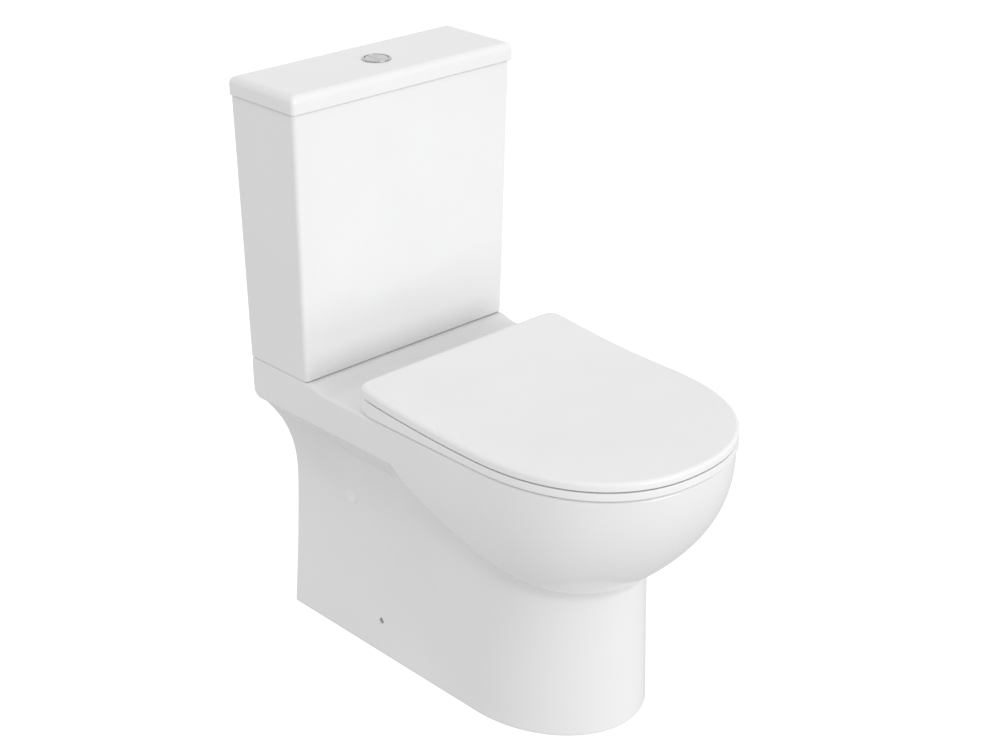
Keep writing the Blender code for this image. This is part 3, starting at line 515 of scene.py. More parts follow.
def pan_column(top, foot):
    """Points of the pan's outside from floor to rim, between its plan on the rim and on the floor."""
    along = along_edge(top[1])
    waist_z = WAIST_BACK + (WAIST_FRONT - WAIST_BACK) * along
    flare = FLARE_BACK + (FLARE_FRONT - FLARE_BACK) * along
    edge_z = max(edge_height(top[1]), waist_z + 0.012)
    round_d = max(0.0, foot[1] - FOOT_CENTRE)
    shrink = flare / math.hypot(foot[0], round_d)
    waist = (foot[0] * (1 - shrink), foot[1] - round_d * shrink)

    def bulge(z):
        """How far the side has come in at height z, as a share of the way from the rim to the waist."""
        reach = BULGE_BACK[0] + (BULGE_FRONT[0] - BULGE_BACK[0]) * along**2
        power = BULGE_BACK[1] + (BULGE_FRONT[1] - BULGE_BACK[1]) * along**2
        return min(1.0, max(0.0, (RIM - z) / reach) ** power)

    def between(share, z):
        return (top[0] + (waist[0] - top[0]) * share, top[1] + (waist[1] - top[1]) * share, z)

    column = []
    for k in range(14):
        z = waist_z * k / 14
        out = ((waist_z - z) / waist_z) ** 1.4
        column.append((waist[0] + (foot[0] - waist[0]) * out, waist[1] + (foot[1] - waist[1]) * out, z))
    edge_share = bulge(edge_z)
    opened = hollow_open(top[1])
    valley_up, power = 1 - HOLLOW_HEIGHT * opened, 2.2 - 0.7 * opened
    valley_share = edge_share + (HOLLOW_DEPTH - edge_share) * opened**0.8
    width = math.dist(top, waist)
    lip_share = edge_share + LIP * opened / width

    def undercut(up):
        """From the waist a hollow curve up to the valley, then the slope that leads out to the edge."""
        if up <= valley_up:
            share = 1 - (1 - valley_share) * (up / valley_up) ** power
        else:
            share = valley_share + (lip_share - valley_share) * (up - valley_up) / (1 - valley_up)
        return between(share, waist_z + (edge_z - waist_z) * up)

    near = 0.0030 / math.hypot(width * (1 - edge_share) * 2.2, edge_z - waist_z)
    split = min(valley_up, 0.97 - near)
    column += [undercut(split * (k / 20) ** 0.9) for k in range(21)]
    column += [undercut(split + (1 - near - split) * k / 12) for k in range(1, 13)]
    start, corner = Vector(column[-1]), Vector(between(edge_share, edge_z))
    end = Vector(between(bulge(edge_z + 0.003), edge_z + 0.003))
    for k in range(1, 7):
        t = k / 6
        column.append(tuple(start * (1 - t) ** 2 + corner * 2 * t * (1 - t) + end * t * t))
    for k in range(1, 21):
        z = edge_z + 0.003 + (RIM - RIM_ROUND - edge_z - 0.003) * k / 20
        column.append(between(bulge(z), z))
    return column


def pan_plans(side, front):
    """Pairs of points at the rim and at the foot of each of the pan's columns."""
    return zip(half_outline(RIM_HALF, RIM_CENTRE, RIM_NOSE, RIM_POWER, side, front),
               half_outline(FOOT_HALF, FOOT_CENTRE, FOOT_NOSE, 2.0, side, front))


def pan_skin(side=150, front=64):
    """The casting's outside, with the rim's edge rounded and the deck rising under the cistern."""
    columns, rise_from = [], 0.36
    for top, foot in pan_plans(side, front):
        column = pan_column(top, foot)
        rise = ledge(top[1])
        column = [(x, d, z + rise * max(0.0, (z - rise_from) / (RIM - rise_from))) for x, d, z in column]
        x, d, z = column[-1]
        for a in arc(6)[1:]:
            inset, lift = RIM_ROUND * (1 - math.cos(a)), (RIM + rise - z) * math.sin(a)
            column.append((x * (1 - inset / RIM_HALF), d - inset * max(0.0, d - RIM_CENTRE) / RIM_NOSE,
                           z + lift))
        x, d, z = column[-1]
        column.append((x * 0.985, d - 0.003 * max(0.0, d - RIM_CENTRE) / RIM_NOSE, z))
        columns.append(column)
    return [[at(*p) for p in mirrored(list(level))] for level in zip(*columns)]


def pan_inside(side=20, front=22):
    """The space behind the skin, open at floor and wall: the outside's columns moved in by the china's
    thickness, square to their slope."""
    columns = []
    for top, foot in pan_plans(side, front):
        column = pan_column(top, foot)[::3]
        column[-1] = (*column[-1][:2], RIM - RIM_ROUND)
        length = math.dist(top, foot)
        inward = ((foot[0] - top[0]) / length, (foot[1] - top[1]) / length)
        depths = [(p[0] - top[0]) * inward[0] + (p[1] - top[1]) * inward[1] for p in column]
        moved = [(column[0][0] + inward[0] * CHINA, column[0][1] + inward[1] * CHINA, -0.02)]
        for k, point in enumerate(column):
            low, high = max(k - 1, 0), min(k + 1, len(column) - 1)
            rise, run = column[high][2] - column[low][2], depths[high] - depths[low]
            slope = math.hypot(rise, run)
            step = CHINA * rise / slope
            roof = RIM - RIM_ROUND - CHINA - 0.0001 * (len(column) - k)
            moved.append((point[0] + inward[0] * step, point[1] + inward[1] * step,
                          min(point[2] - CHINA * run / slope, roof)))
        columns.append(moved)
    rings = [[at(*p) for p in mirrored(list(level))] for level in zip(*columns)]
    for ring in rings:
        for p in ring:
            p.y += 0.01 if p.y > BACK - 0.003 else 0.0
    return rings


def bowl_rings(grow=0.0, sides=96):
    """Plan rings of the bowl's hollow, from the sump up past the rim."""
    shape = curve_through([(0.30, 0.125, 0.395), (0.48, 0.150, 0.401), (0.62, 0.190, 0.409),
                           (0.79, 0.240, 0.424), (0.94, 0.300, 0.440), (1.0, 0.360, BOWL_CENTRE)], 6)
    soft = 0.007
    shape += [(1.0, RIM - soft, BOWL_CENTRE)]
    if not grow:
        shape += [(1 + soft * (1 - math.cos(a)) / BOWL_HALF, RIM - soft + soft * math.sin(a), BOWL_CENTRE)
                  for a in arc(5, 0, 62)[1:]]
        shape += [(shape[-1][0] + 0.020 / BOWL_HALF, shape[-1][1] + 0.012, BOWL_CENTRE)]
    rings = []
    for share, z, centre in shape:
        a, b = BOWL_HALF * share + grow, BOWL_LONG * share + grow
        ring_z = z - grow if z < 0.13 else z
        if grow and z > RIM - 0.01:
            ring_z = RIM + 0.02
        turn = [2 * math.pi * k / sides for k in range(sides)]
        rings.append([at(a * math.cos(t), centre + b * math.sin(t), ring_z) for t in turn])
    return rings


def make_pan():
    """Outside skin, bowl, trap, flush way, and the holes for bolts, hinges, caps and screws."""
    pan = link_mesh("china_pan", loft(pan_skin(), "across"))
    trap = curve_through([(0.395, 0.165), (0.350, 0.135), (0.300, 0.160), (0.255, 0.225), (0.205, 0.240),
                          (0.165, 0.210), (0.125, OUTLET_Z), (0.085, OUTLET_Z), (0.045, OUTLET_Z)], 5)
    way = [(VALVE_D, WAY_Z), (0.315, WAY_Z)]

    def inlet(grow=0.0):
        """The doughnut seal's recess in the deck, and the drop below it."""
        drop = 0.025 + grow
        return turned([(0, 0.317 - grow), (drop, 0.317 - grow), (drop, 0.3725 - grow),
                       (RECESS_R + grow, 0.3725 - grow), (RECESS_R + grow, 0.45), (0, 0.45)],
                      (0, VALVE_D, 0))

    space = carve(link_mesh("pan_space", loft(pan_inside())), [
        loft(bowl_rings(CHINA, 48)), tube([*trap[:-1], (0.0455, OUTLET_Z)], OUTLET_R + TRAP_WALL),
        inlet(CHINA - 0.001), tube(way, WAY_R + WAY_WALL)])
    carve(pan, [space], crossing=True)
    holes = [loft(bowl_rings()), tube(trap + [(0.02, OUTLET_Z)], OUTLET_R), inlet(), tube(way, WAY_R)]
    through_deck = (0.34, 0.42)
    for side, hand in HAND.items():
        for name in (f"coupling_bolt_{hand}", f"hinge_stud_{hand}"):
            x, d, _ = middle(name)
            holes.append(rod(BOLT_HOLE_R, *through_deck, (x, d, 0)))
        for name, radius, inner in (("floor_screw", SCREW_HOLE_R, 0.09), ("side_cap", CAP_HOLE_R, 0.08)):
            _, d, z = middle(f"{name}_{hand}")
            holes.append(rod(radius, *sorted((side * inner, side * 0.15)), (0, d, z), "X"))
    x, d, _ = middle("fill_valve_nut")
    holes.append(rod(TAIL_HOLE_R, *through_deck, (x, d, 0)))
    show(carve(pan, holes), CHINA_GLAZE, "pan_and_cistern", "white_china", "pan", sharp=28)


# ---- cistern ----
def box_ring(half, low, high, z, corner_back, corner_front, steps=10):
    """A rounded rectangle from low to high out from the wall, as a ring."""
    ring = []
    for sx, d, radius, first in ((-1, low, corner_back, 270), (-1, high, corner_front, 180),
                                 (1, high, corner_front, 90), (1, low, corner_back, 0)):
        inward = 1 if d == low else -1
        for a in arc(steps, first, first - 90):
            ring.append(at(sx * (half - radius) + radius * math.cos(a),
                           d + inward * radius + radius * math.sin(a), z))
    return ring


def make_tank():
    """The open tank: tapering walls, soft corners, rounded rim, and holes in its floor."""
    wall, bottom, top = TANK_WALL, TANK_LOW.z - 0.0004, TANK_HIGH.z

    def ring(z, inset, corner=TANK_CORNER):
        t = (z - bottom) / (top - bottom)
        half = TANK_HALF_LOW + (TANK_HIGH.x - TANK_HALF_LOW) * t
        depth = TANK_DEPTH_LOW + (BACK - TANK_LOW.y - TANK_DEPTH_LOW) * t
        back_corner = max(0.004 - inset, 0.001) if inset < wall else 0.004
        return box_ring(half - inset, inset, depth - inset, z, back_corner, max(corner - inset, 0.003))

    foot, outer, inner, cove = 0.0014, 0.003, 0.002, 0.012
    rings = [ring(bottom + foot * (1 - math.sin(a)), foot * (1 - math.cos(a))) for a in arc(5, 90, 0)]
    rings += [ring(bottom + foot + (top - outer - bottom - foot) * k / 12, 0) for k in range(1, 13)]
    rings += [ring(top - outer * (1 - math.sin(a)), outer * (1 - math.cos(a))) for a in arc(4)[1:]]
    rings += [ring(top - inner * (1 - math.cos(a)), wall - inner * (1 - math.sin(a))) for a in arc(4)]
    rings += [ring(TANK_FLOOR + cove * (1 - math.sin(a)), wall + cove * (1 - math.cos(a)), 0.018)
              for a in arc(5)]
    tank = link_mesh("china_cistern", loft(rings))
    valve, tail, bolt = 0.0305, 0.0112, 0.0045  # radii of the holes in the floor
    holes = [rod(radius, 0.40, 0.43, (x, d, 0)) for radius, (x, d, _) in (
        (valve, (0, VALVE_D, 0)), (tail, middle("fill_valve_nut")),
        (bolt, middle("coupling_bolt_left")), (bolt, middle("coupling_bolt_right")))]
    show(carve(tank, holes), CHINA_GLAZE, "pan_and_cistern", "white_china", "cistern_tank", sharp=40)


def make_cover():
    """The loose lid: large soft top edge, small bottom edge, and the lip that locates it."""
    half, depth = COVER_HIGH.x, BACK - COVER_LOW.y
    bottom, top = COVER_BOTTOM, COVER_HIGH.z
    soft, small, corner = 0.010, 0.002, COVER_CORNER

    def ring(z, inset):
        return box_ring(half - inset, inset, depth - inset, z,
                        max(0.005 - inset, 0.001), max(corner - inset, 0.004))

    rings = [ring(bottom + small * (1 - math.sin(a)), small * (1 - math.cos(a))) for a in arc(4, 90, 0)]
    rings += [ring(bottom + small + (top - soft - bottom - small) * k / 4, 0) for k in range(1, 5)]
    rings += [ring(top - soft * (1 - math.sin(a)), soft * (1 - math.cos(a))) for a in arc(12)[1:]]
    cover = link_mesh("china_cistern_lid", loft(rings))

    def lip(inset, zs):
        return loft([box_ring(0.166 - inset, 0.018 + inset, 0.112 - inset, z, 0.006, 0.006) for z in zs])

    carve(cover, [lip(0.010, (0.760, 0.788)), rod(0.0175, 0.77, 0.81, (0, VALVE_D, 0), sides=96)],
          [lip(0.0, (COVER_LOW.z, 0.778))])
    show(cover, CHINA_GLAZE, "cistern_cover", "white_china", "cistern_lid", sharp=40)


def make_button():
    """Chrome collar, and two keys that part along a straight split."""
    low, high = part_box("button_collar")
    outer, inner, seat = (high.x - low.x) / 2, 0.0160, COVER_HIGH.z + 0.0003
    collar = turned(rounded([(inner, low.z), (0.0172, low.z), (0.0172, seat), (outer, seat),
                             (outer, high.z - 0.0006), (outer - 0.0012, high.z), (inner, high.z)], 0.0005),
                    (0, VALVE_D, 0), sides=128)
    show(link_mesh("chrome_collar", collar), CHROME, "cistern_cover", "chrome", "button_collar", sharp=50)
    key_low, key_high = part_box("full_flush_button")
    radius = key_high.x
    split, soft = -0.25 * radius, 0.0008
    for name, side in (("full", 1), ("half", -1)):
        rings = []
        shape = [(0.0, key_low.z), (0.0, key_high.z - soft)]
        shape += [(soft * (1 - math.cos(a)), key_high.z - soft * (1 - math.sin(a))) for a in arc(4)[1:]]
        for inset, z in shape:
            r, cut = radius - inset, split + side * (0.0003 + inset)
            limit = math.acos(cut / r)
            first, last = (-limit, limit) if side > 0 else (limit, 2 * math.pi - limit)
            ring = [at(r * math.cos(a), VALVE_D + r * math.sin(a), z)
                    for a in (first + (last - first) * k / 72 for k in range(73))]
            ring += [ring[-1].lerp(ring[0], k / 12) for k in range(1, 12)]
            rings.append(ring)
        key = link_mesh(f"chrome_{name}_flush_key", loft(rings))
        show(key, CHROME, f"{name}_button", "chrome", f"{name}_flush_button", sharp=50)


# ---- seat ----
def seat_gap(d):
    """Height of the parting between seat and lid, which rises towards the hinge."""
    s = max(0.0, (SEAT_CENTRE - d) / RISE_LENGTH)
    return SEAT_TOP + SEAT_TOP_RISE * s * s


def lid_top(d):
    s = min(1.0, max(0.0, (SEAT_CENTRE - d) / RISE_LENGTH))
    return LID_TOP + LID_TOP_RISE * s * s


def seat_angles(steps=150):
    """Directions from the seat's centre on the left side, back to front, closer at the back corner."""
    corner = math.atan2(SEAT_BACK, SEAT_HALF)
    end = math.pi / 2 - 0.004
    even = [-end + 2 * end * k / (steps - 1) for k in range(steps)]
    near = [-corner + 0.2 * (k / 30) for k in range(-30, 31)]
    return sorted([a for a in even if abs(a + corner) > 0.205] + near)


def oval_radius(angle, half, reach, power):
    """Distance from the seat's centre to a superellipse with the given half width and reach."""
    across, along = abs(math.cos(angle)) / half, abs(math.sin(angle)) / reach
    return (across**power + along**power) ** (-1 / power)


def seat_points(inset, height):
    """One ring of the seat's outline, drawn in by inset(d), at the height that height(d) gives."""
    left = []
    for a in seat_angles():
        reach, power = (SEAT_NOSE, RIM_POWER) if a > 0 else (SEAT_BACK, SEAT_BACK_POWER)
        draw = inset(SEAT_CENTRE + math.sin(a) * oval_radius(a, SEAT_HALF, reach, power))
        r = oval_radius(a, SEAT_HALF - draw, reach - draw, power)
        d = SEAT_CENTRE + r * math.sin(a)
        left.append((-r * math.cos(a), d, height(d)))
    return [at(*p) for p in mirrored(left)]


def hole_points(grow, height):
    left = []
    for a in seat_angles():
        r = oval_radius(a, SEAT_HOLE_HALF + grow, SEAT_HOLE_LONG + grow, SEAT_HOLE_POWER)
        d = SEAT_CENTRE + r * math.sin(a)
        left.append((-r * math.cos(a), d, height(d)))
    return [at(*p) for p in mirrored(left)]


def make_seat():
    """The seat ring with a soft inner slope, notched for the hinge posts."""
    def edge(d):
        return 0.0015 + 0.0045 * (1 - smoothstep((d - 0.228) / 0.020))

    def top(d):
        return seat_gap(d) - SEAT_LID_GAP / 2

    def outer(a, up):
        """A ring on the outer edge's rounding, at angle a of its quarter circle."""
        def inset(d):
            return edge(d) * (1 - math.cos(a))

        def height(d):
            drop = edge(d) * (1 - math.sin(a))
            return top(d) - drop if up else SEAT_BOTTOM + drop

        return seat_points(inset, height)

    def slope(grow, drop):
        """A ring on the slope into the hole, drop below the seat's top."""
        return hole_points(grow, lambda d: max(top(d) - drop, SEAT_BOTTOM + 0.002))

    def foot(a, soft=0.0012):
        return hole_points(soft * (1 - math.cos(a)), lambda d: SEAT_BOTTOM + soft * (1 - math.sin(a)))

    rings = [outer(a, False) for a in arc(5, 90, 0)] + [outer(a, True) for a in arc(5)]
    rings += [slope(*step) for step in curve_through(
        [(0.020, 0.0), (0.012, 0.0006), (0.005, 0.0026), (0.0012, 0.0058), (0.0, 0.0090)], 4)]
    rings += [foot(a) for a in arc(3)]
    ring = link_mesh("seat_ring_moulding", loft(rings, "loop"))
    cuts = []
    for side, hand in HAND.items():
        cuts.append(bar((side * (HINGE_X - 0.012), side * (HINGE_X + 0.024)), (0.200, HINGE_D + 0.0125),
                        (0.395, 0.435), 0.002))
        cuts.append(rod(PIN_BORE_R, *sorted((side * 0.0495, side * 0.1155)), (0, HINGE_D, HINGE_Z), "X"))
        for place in ("back", "front"):
            x, d, _ = middle(f"seat_buffer_{place}_{hand}")
            cuts.append(rod(0.0083, 0.395, 0.4053, (x, d, 0)))
    show(carve(ring, cuts), SEAT_WHITE, "seat", "white_seat", "seat_ring", sharp=40)


def make_lid():
    """The lid: crowned shell, shallow hollow underneath, and an ear on each hinge pin."""
    def under(inset, up):
        return seat_points(lambda d: inset, lambda d: seat_gap(d) + SEAT_LID_GAP / 2 + up)

    def over(a):
        drop = LID_EDGE * (1 - math.sin(a))
        return seat_points(lambda d: LID_EDGE * (1 - math.cos(a)), lambda d: lid_top(d) - drop)

    rings = [under(0.030, 0.0060), under(0.026, 0.0058), under(0.021, 0.0040), under(0.0185, 0.0012),
             under(0.0170, 0.0)]
    rings += [under(0.0014 * (1 - math.cos(a)), 0.0014 * (1 - math.sin(a))) for a in arc(4, 90, 0)]
    rings += [over(a) for a in arc(8)]
    lid = link_mesh("seat_lid_moulding", loft(rings, "across"))
    joins, cuts = [], []
    neck, neck_top, boss = 0.005, 0.430, 0.008
    below = [(HINGE_D - boss * math.cos(a), HINGE_Z - boss * math.sin(a)) for a in arc(16, 0, 180)]
    outline = [(HINGE_D - neck, neck_top), *below, (HINGE_D + neck, neck_top)]
    for side in (-1, 1):
        ear = sorted((side * (HINGE_X + 0.0125), side * (HINGE_X + 0.0215)))
        joins.append(loft([[at(x, d, z) for d, z in outline] for x in ear]))
        cuts.append(rod(PIN_BORE_R, ear[0] - 0.002, ear[1] + 0.002, (0, HINGE_D, HINGE_Z), "X"))
    show(carve(lid, cuts, joins), SEAT_WHITE, "lid", "white_seat", "seat_lid", sharp=40)


def make_posts():
    """Hinge posts with round heads, standing on the rim."""
    soft, radius, half = 0.0008, 0.008, 0.010
    for side, hand in HAND.items():
        x, low = side * HINGE_X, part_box(f"hinge_post_{hand}")[0].z
        rings = []
        for offset, inset in ((-half, soft), (-half + soft * 0.3, soft * 0.3), (-half + soft, 0.0),
                              (half - soft, 0.0), (half - soft * 0.3, soft * 0.3), (half, soft)):
            r = radius - inset
            head = [(-r * math.cos(a), HINGE_Z + r * math.sin(a)) for a in arc(24, 0, 180)]
            rings.append([at(x + offset, HINGE_D + d, z) for d, z in ((-r, low), *head, (r, low))])
        post = carve(link_mesh(f"hinge_post_casting_{hand}", loft(rings)), [
            rod(POST_BORE_R, x - half - 0.002, x + half + 0.002, (0, HINGE_D, HINGE_Z), "X"),
            rod(STUD_BORE_R, 0.39, 0.4105, (x, HINGE_D, 0))])
        show(post, PLASTIC, "pan_and_cistern", "grey_plastic", f"hinge_post_{hand}", sharp=40)


# ---- fittings ----
def slot_of_node(node):
    return next(part["material_slot"] for part in frame["record"]["subparts"] if part["node"] == node)


def finish_like(node, bm, cuts=(), joins=()):
    """Shows a finished shape in place of one CAD node, with that node's body and finish."""
    obj = link_mesh(f"{node}_fine", bm)
    if cuts or joins:
        carve(obj, cuts, joins)
    slot = slot_of_node(node)
    show(obj, BY_SLOT[slot], frame["nodes"][node]["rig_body"], slot, node, sharp=50)


def fine_round(node, axis="Z", inner=0.0, soft=0.0005):
    """A rod, or a sleeve with the given bore, the size of the node's own box, with soft edges."""
    low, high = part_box(node)
    size = high - low
    length = {"X": size.x, "Y": size.y, "Z": size.z}[axis]
    radius = {"X": size.z, "Y": size.z, "Z": size.x}[axis] / 2
    profile = [(inner, -length / 2), (radius, -length / 2), (radius, length / 2), (inner, length / 2)]
    finish_like(node, turned(rounded(profile, soft), middle(node), axis))


def make_round_fittings():
    fine_round("button_collar_nut", inner=0.0176)
    fine_round("flush_valve_washer", inner=0.031, soft=0.0003)
    fine_round("flush_valve_nut", inner=0.0298, soft=0.0012)
    fine_round("fill_valve_washer", inner=0.011, soft=0.0003)
    fine_round("fill_valve_nut", inner=0.0109, soft=0.0010)
    fine_round("flush_valve_seal", inner=0.0123, soft=0.0010)
    fine_round("float_rod")
    fine_round("float_arm_pin", "Y", soft=0.0004)
    for name in ("full", "half"):
        fine_round(f"{name}_flush_button_rod", soft=0.0008)
        fine_round(f"{name}_flush_lever_pin", "Y", soft=0.0004)
    for hand in HAND.values():
        fine_round(f"coupling_rubber_{hand}", inner=0.0045)
        fine_round(f"coupling_washer_{hand}", inner=0.0045, soft=0.0003)
        fine_round(f"hinge_pin_{hand}", "X", soft=0.0008)
        fine_round(f"hinge_stud_{hand}")
        fine_round(f"floor_screw_{hand}", "X", soft=0.0008)
        fine_round(f"lid_buffer_{hand}", soft=0.0012)
        for place in ("back", "front"):
            fine_round(f"seat_buffer_{place}_{hand}", soft=0.0010)


def make_flush_valve():
    """Valve body with windows at its foot and pivot posts on its head, and the doughnut seal."""
    centre = (0, VALVE_D, 0)
    profile = [(0.0295, 0.380), (0.0295, 0.4204), (0.0345, 0.4204), (0.0345, 0.4284), (0.033, 0.4284),
               (0.033, 0.640), (0.0138, 0.640), (0.0138, 0.636), (0.0305, 0.636), (0.0305, 0.430),
               (0.024, 0.430), (0.024, 0.380)]
    across, along, window = (-0.013, 0.013), (VALVE_D - 0.050, VALVE_D + 0.050), (0.436, 0.480)
    cuts = [bar(across, along, window, 0.002),
            bar((-0.050, 0.050), (VALVE_D - 0.013, VALVE_D + 0.013), window, 0.002)]
    joins = []
    for side, name in ((1, "full"), (-1, "half")):
        x, _, z = middle(f"{name}_flush_lever_pin")
        for step in (-1, 1):
            cheek = (VALVE_D + step * 0.005, VALVE_D + step * 0.008)
            joins.append(bar((side * 0.0235, side * 0.0325), cheek, (0.638, 0.696), 0.0005))
        cuts.append(rod(LEVER_BORE_R, -0.012, 0.012, (x, VALVE_D, z), "Y"))
    finish_like("flush_valve_body", turned(rounded(profile, 0.0007), centre, sides=96), cuts, joins)
    low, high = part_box("doughnut_seal")
    outer = (high.x - low.x) / 2
    seal = [(outer - 0.0056, low.z), (outer, low.z), (outer, high.z), (outer - 0.0056, high.z)]
    finish_like("doughnut_seal", turned(rounded(seal, 0.0022), centre, sides=96))


def make_levers():
    """Rocker levers with a round boss on each pin."""
    for side, name in ((1, "full"), (-1, "half")):
        x, _, z = middle(f"{name}_flush_lever_pin")
        half = 0.0035
        arm = bar((side * 0.005, side * 0.049), (VALVE_D - half, VALVE_D + half), (z - 0.002, z + 0.002))
        boss = turned(rounded([(0, -half), (0.005, -half), (0.005, half), (0, half)], 0.0005),
                      (x, VALVE_D, z), "Y")
        bore = rod(LEVER_BORE_R, -0.010, 0.010, (x, VALVE_D, z), "Y")
        finish_like(f"{name}_flush_lever", arm, [bore], [boss])


def make_overflow():
    """Overflow tube with its foot flange, and the yoke with one hook over each lever."""
    profile = [(0.010, 0.4304), (0.012, 0.4304), (0.012, 0.4350), (0.024, 0.4350), (0.024, 0.4385),
               (0.012, 0.4385), (0.012, 0.655), (0.010, 0.655)]
    width = (VALVE_D - 0.003, VALVE_D + 0.003)
    joins = []
    for side, hook in ((1, 0.6938), (-1, 0.7040)):
        joins += [bar((side * 0.011, side * 0.056), width, (0.646, 0.652), 0.0005),
                  bar((side * 0.052, side * 0.056), width, (0.6465, hook + 0.006), 0.0005),
                  bar((side * 0.043, side * 0.0555), width, (hook, hook + 0.0055), 0.0005)]
    finish_like("overflow_tube", turned(rounded(profile, 0.0005), (0, VALVE_D, 0)), joins=joins)


def make_fill_valve():
    """Inlet tail, column and valve head with its lugs, the float cup round it, and the float arm."""
    x, d, _ = middle("fill_valve_nut")
    pin_x, _, pin_z = middle("float_arm_pin")
    centre = (x, d, 0)
    column = [(0.005, 0.372), (0.0105, 0.372), (0.0105, 0.4204), (0.020, 0.4204), (0.020, 0.4264),
              (0.0115, 0.4264), (0.0115, 0.672), (0.016, 0.672), (0.016, 0.690), (0, 0.690), (0, 0.665),
              (0.005, 0.665)]
    lugs = [bar((pin_x - 0.004, pin_x + 0.004), (d + step * 0.004, d + step * 0.0065), (0.688, 0.702), 0.0004)
            for step in (-1, 1)]

    def across(radius, half):
        return rod(radius, -half, half, (pin_x, d, pin_z), "Y")

    finish_like("fill_valve_body", turned(rounded(column, 0.0006), centre), [across(ARM_BORE_R, 0.010)], lugs)
    arm = bar((pin_x - 0.004, pin_x + 0.031), (d - 0.003, d + 0.003), (pin_z - 0.002, pin_z + 0.002))
    finish_like("float_arm", arm, [across(ARM_BORE_R, 0.010)], [across(0.004, 0.003)])
    cup = [(0.0125, 0.560), (0.0145, 0.560), (0.0145, 0.606), (0.026, 0.606), (0.026, 0.560), (0.028, 0.560),
           (0.028, 0.610), (0.0125, 0.610)]
    tab = bar((x + 0.026, x + 0.036), (d - 0.005, d + 0.005), (0.604, 0.610))
    finish_like("float_cup", turned(rounded(cup, 0.0007), centre), joins=[tab])


def make_couplings():
    """Bolts and wing nuts of the tank, nuts of the hinge studs, floor brackets and round side caps."""
    for side, hand in HAND.items():
        x, d, _ = middle(f"coupling_bolt_{hand}")
        bolt = [(0, 0.362), (0.004, 0.362), (0.004, 0.4222), (0.008, 0.4222), (0.008, 0.4272), (0, 0.4272)]
        slot = bar((x - 0.0007, x + 0.0007), (d - 0.010, d + 0.010), (0.4258, 0.4290), 0.0)
        finish_like(f"coupling_bolt_{hand}", turned(rounded(bolt, 0.0008), (x, d, 0)), [slot])
        nut = [(0.0043, 0.3710), (0.009, 0.3710), (0.009, 0.3817), (0.0043, 0.3817)]
        wings = [bar((x + step * 0.0065, x + step * 0.016), (d - 0.0015, d + 0.0015), (0.3712, 0.3800))
                 for step in (-1, 1)]
        finish_like(f"wing_nut_{hand}", turned(rounded(nut, 0.0008), (x, d, 0)), joins=wings)
        x, d, _ = middle(f"hinge_nut_{hand}")
        nut = [(0.0033, 0.3705), (0.006, 0.3705), (0.006, 0.3805), (0.011, 0.3805), (0.011, 0.3840),
               (0.0033, 0.3840)]
        finish_like(f"hinge_nut_{hand}", turned(rounded(nut, 0.0007), (x, d, 0)))
        low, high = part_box(f"floor_bracket_{hand}")
        x, d, z = middle(f"floor_screw_{hand}")
        block = bar((low.x, high.x), (BACK - high.y, BACK - low.y), (low.z, high.z), 0.0012)
        inner = high.x if side > 0 else low.x
        bore = sorted((inner + side * 0.010, inner - side * 0.015))
        finish_like(f"floor_bracket_{hand}", block, [rod(0.0035, *bore, (0, d, z), "X")])
        low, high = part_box(f"side_cap_{hand}")
        _, d, z = middle(f"side_cap_{hand}")
        near, far = sorted((abs(low.x), abs(high.x)))
        radius, stem, head = (high.z - low.z) / 2, 0.006, far - 0.0030
        cap = [(0, near), (stem, near), (stem, head), (radius, head), (radius, far - 0.0006),
               (radius - 0.0012, far), (0, far)]
        cap = [(r, side * x) for r, x in rounded(cap, 0.0005)]
        finish_like(f"side_cap_{hand}", turned(cap, (0, d, z), "X"))


def make_outlet():
    """Flexible connector: a socket with a rolled lip over the spigot, narrowing towards the wall."""
    low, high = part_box("outlet_connector")
    outer, reach = (high.x - low.x) / 2, BACK - low.y
    bore, throat, stop = OUTLET_R + 0.010, 0.045, 0.041
    wall = outer - 0.0015  # between the ridges
    profile = [(bore, reach), (outer, reach), (outer, reach - 0.008), (wall, reach - 0.010)]
    for k in range(4):
        ridge = reach - 0.022 - 0.012 * k
        profile += [(wall, ridge + 0.004), (outer, ridge + 0.002),
                    (outer, ridge - 0.002), (wall, ridge - 0.004)]
    profile += [(wall, 0.006), (outer, 0.004), (outer, 0.0), (throat, 0.0), (throat, stop), (bore, stop)]
    centre = (0, 0, middle("outlet_connector")[2])
    finish_like("outlet_connector", turned(rounded(profile, 0.0008), centre, "Y", 96))


for make in (make_pan, make_tank, make_cover, make_button, make_seat, make_lid, make_posts,
             make_round_fittings, make_flush_valve, make_levers, make_overflow, make_fill_valve,
             make_couplings, make_outlet):
    make()


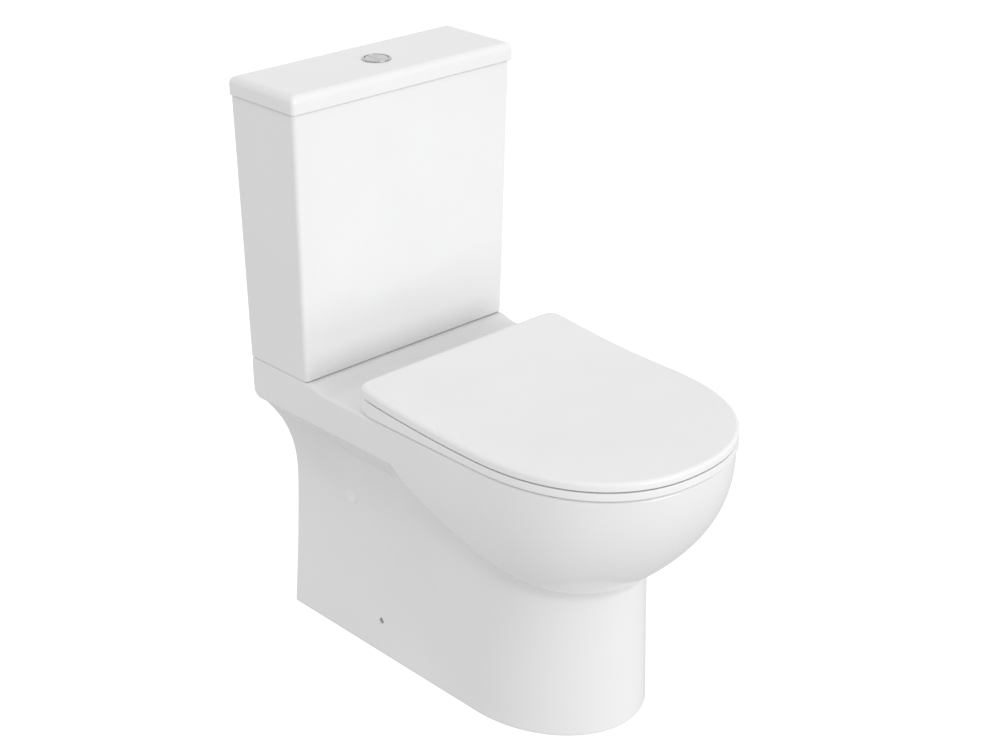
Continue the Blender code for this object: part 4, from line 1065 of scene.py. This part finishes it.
# ---- floor, light and camera ----
def make_floor():
    """A plain white floor that is seen, while the light from below comes from the surroundings."""
    mesh = bpy.data.meshes.new("floor")
    reach = FLOOR_REACH
    mesh.from_pydata([(-reach, -reach, 0), (reach, -reach, 0), (reach, reach, 0), (-reach, reach, 0)], [],
                     [(0, 1, 2, 3)])
    floor = bpy.data.objects.new("floor", mesh)
    floor.location.z = -0.0005
    bpy.context.scene.collection.objects.link(floor)
    material, shader = shader_of("pale_floor", Roughness=0.9,
                                 Base_Color=(FLOOR_SHADE, FLOOR_SHADE, FLOOR_SHADE, 1.0),
                                 Emission_Color=(1.0, 1.0, 1.0, 1.0), Emission_Strength=FLOOR_GLOW)
    shader.inputs["Specular IOR Level"].default_value = 0.0
    floor.data.materials.append(material)
    floor.visible_diffuse = floor.visible_glossy = floor.visible_shadow = False


def sun_light(name, direction, strength, angle):
    light = bpy.data.lights.new(name, "SUN")
    light.energy = strength
    light.angle = math.radians(angle)
    obj = bpy.data.objects.new(name, light)
    obj.rotation_euler = Vector(direction).to_track_quat("-Z", "Y").to_euler()
    bpy.context.scene.collection.objects.link(obj)


def make_light():
    """Soft white surroundings, brighter above than below, and one broad low light from the front right."""
    world = bpy.data.worlds.new("studio")
    world.use_nodes = True
    tree = world.node_tree
    place = tree.nodes.new("ShaderNodeTexCoord")
    parts = tree.nodes.new("ShaderNodeSeparateXYZ")
    tree.links.new(place.outputs["Generated"], parts.inputs["Vector"])
    strength = map_range(tree, parts.outputs["Z"], -1.0, LIGHT_LEVEL, LIGHT_BELOW, LIGHT_ABOVE)
    tree.links.new(strength, tree.nodes["Background"].inputs["Strength"])
    tree.nodes["Background"].inputs["Color"].default_value = (1.0, 1.0, 1.0, 1.0)
    bpy.context.scene.world = world
    sun_light("key", KEY_DIRECTION, KEY_STRENGTH, KEY_ANGLE)


def make_camera():
    camera = bpy.data.cameras.new("camera")
    camera.lens, camera.sensor_width = CAMERA_LENS, SENSOR
    obj = bpy.data.objects.new("camera", camera)
    obj.location = CAMERA_PLACE
    obj.rotation_euler = (math.radians(CAMERA_TILT), 0.0, math.radians(CAMERA_TURN))
    bpy.context.scene.collection.objects.link(obj)
    bpy.context.scene.camera = obj


make_floor()
make_light()
make_camera()
bpy.context.scene.view_settings.view_transform = "Standard"
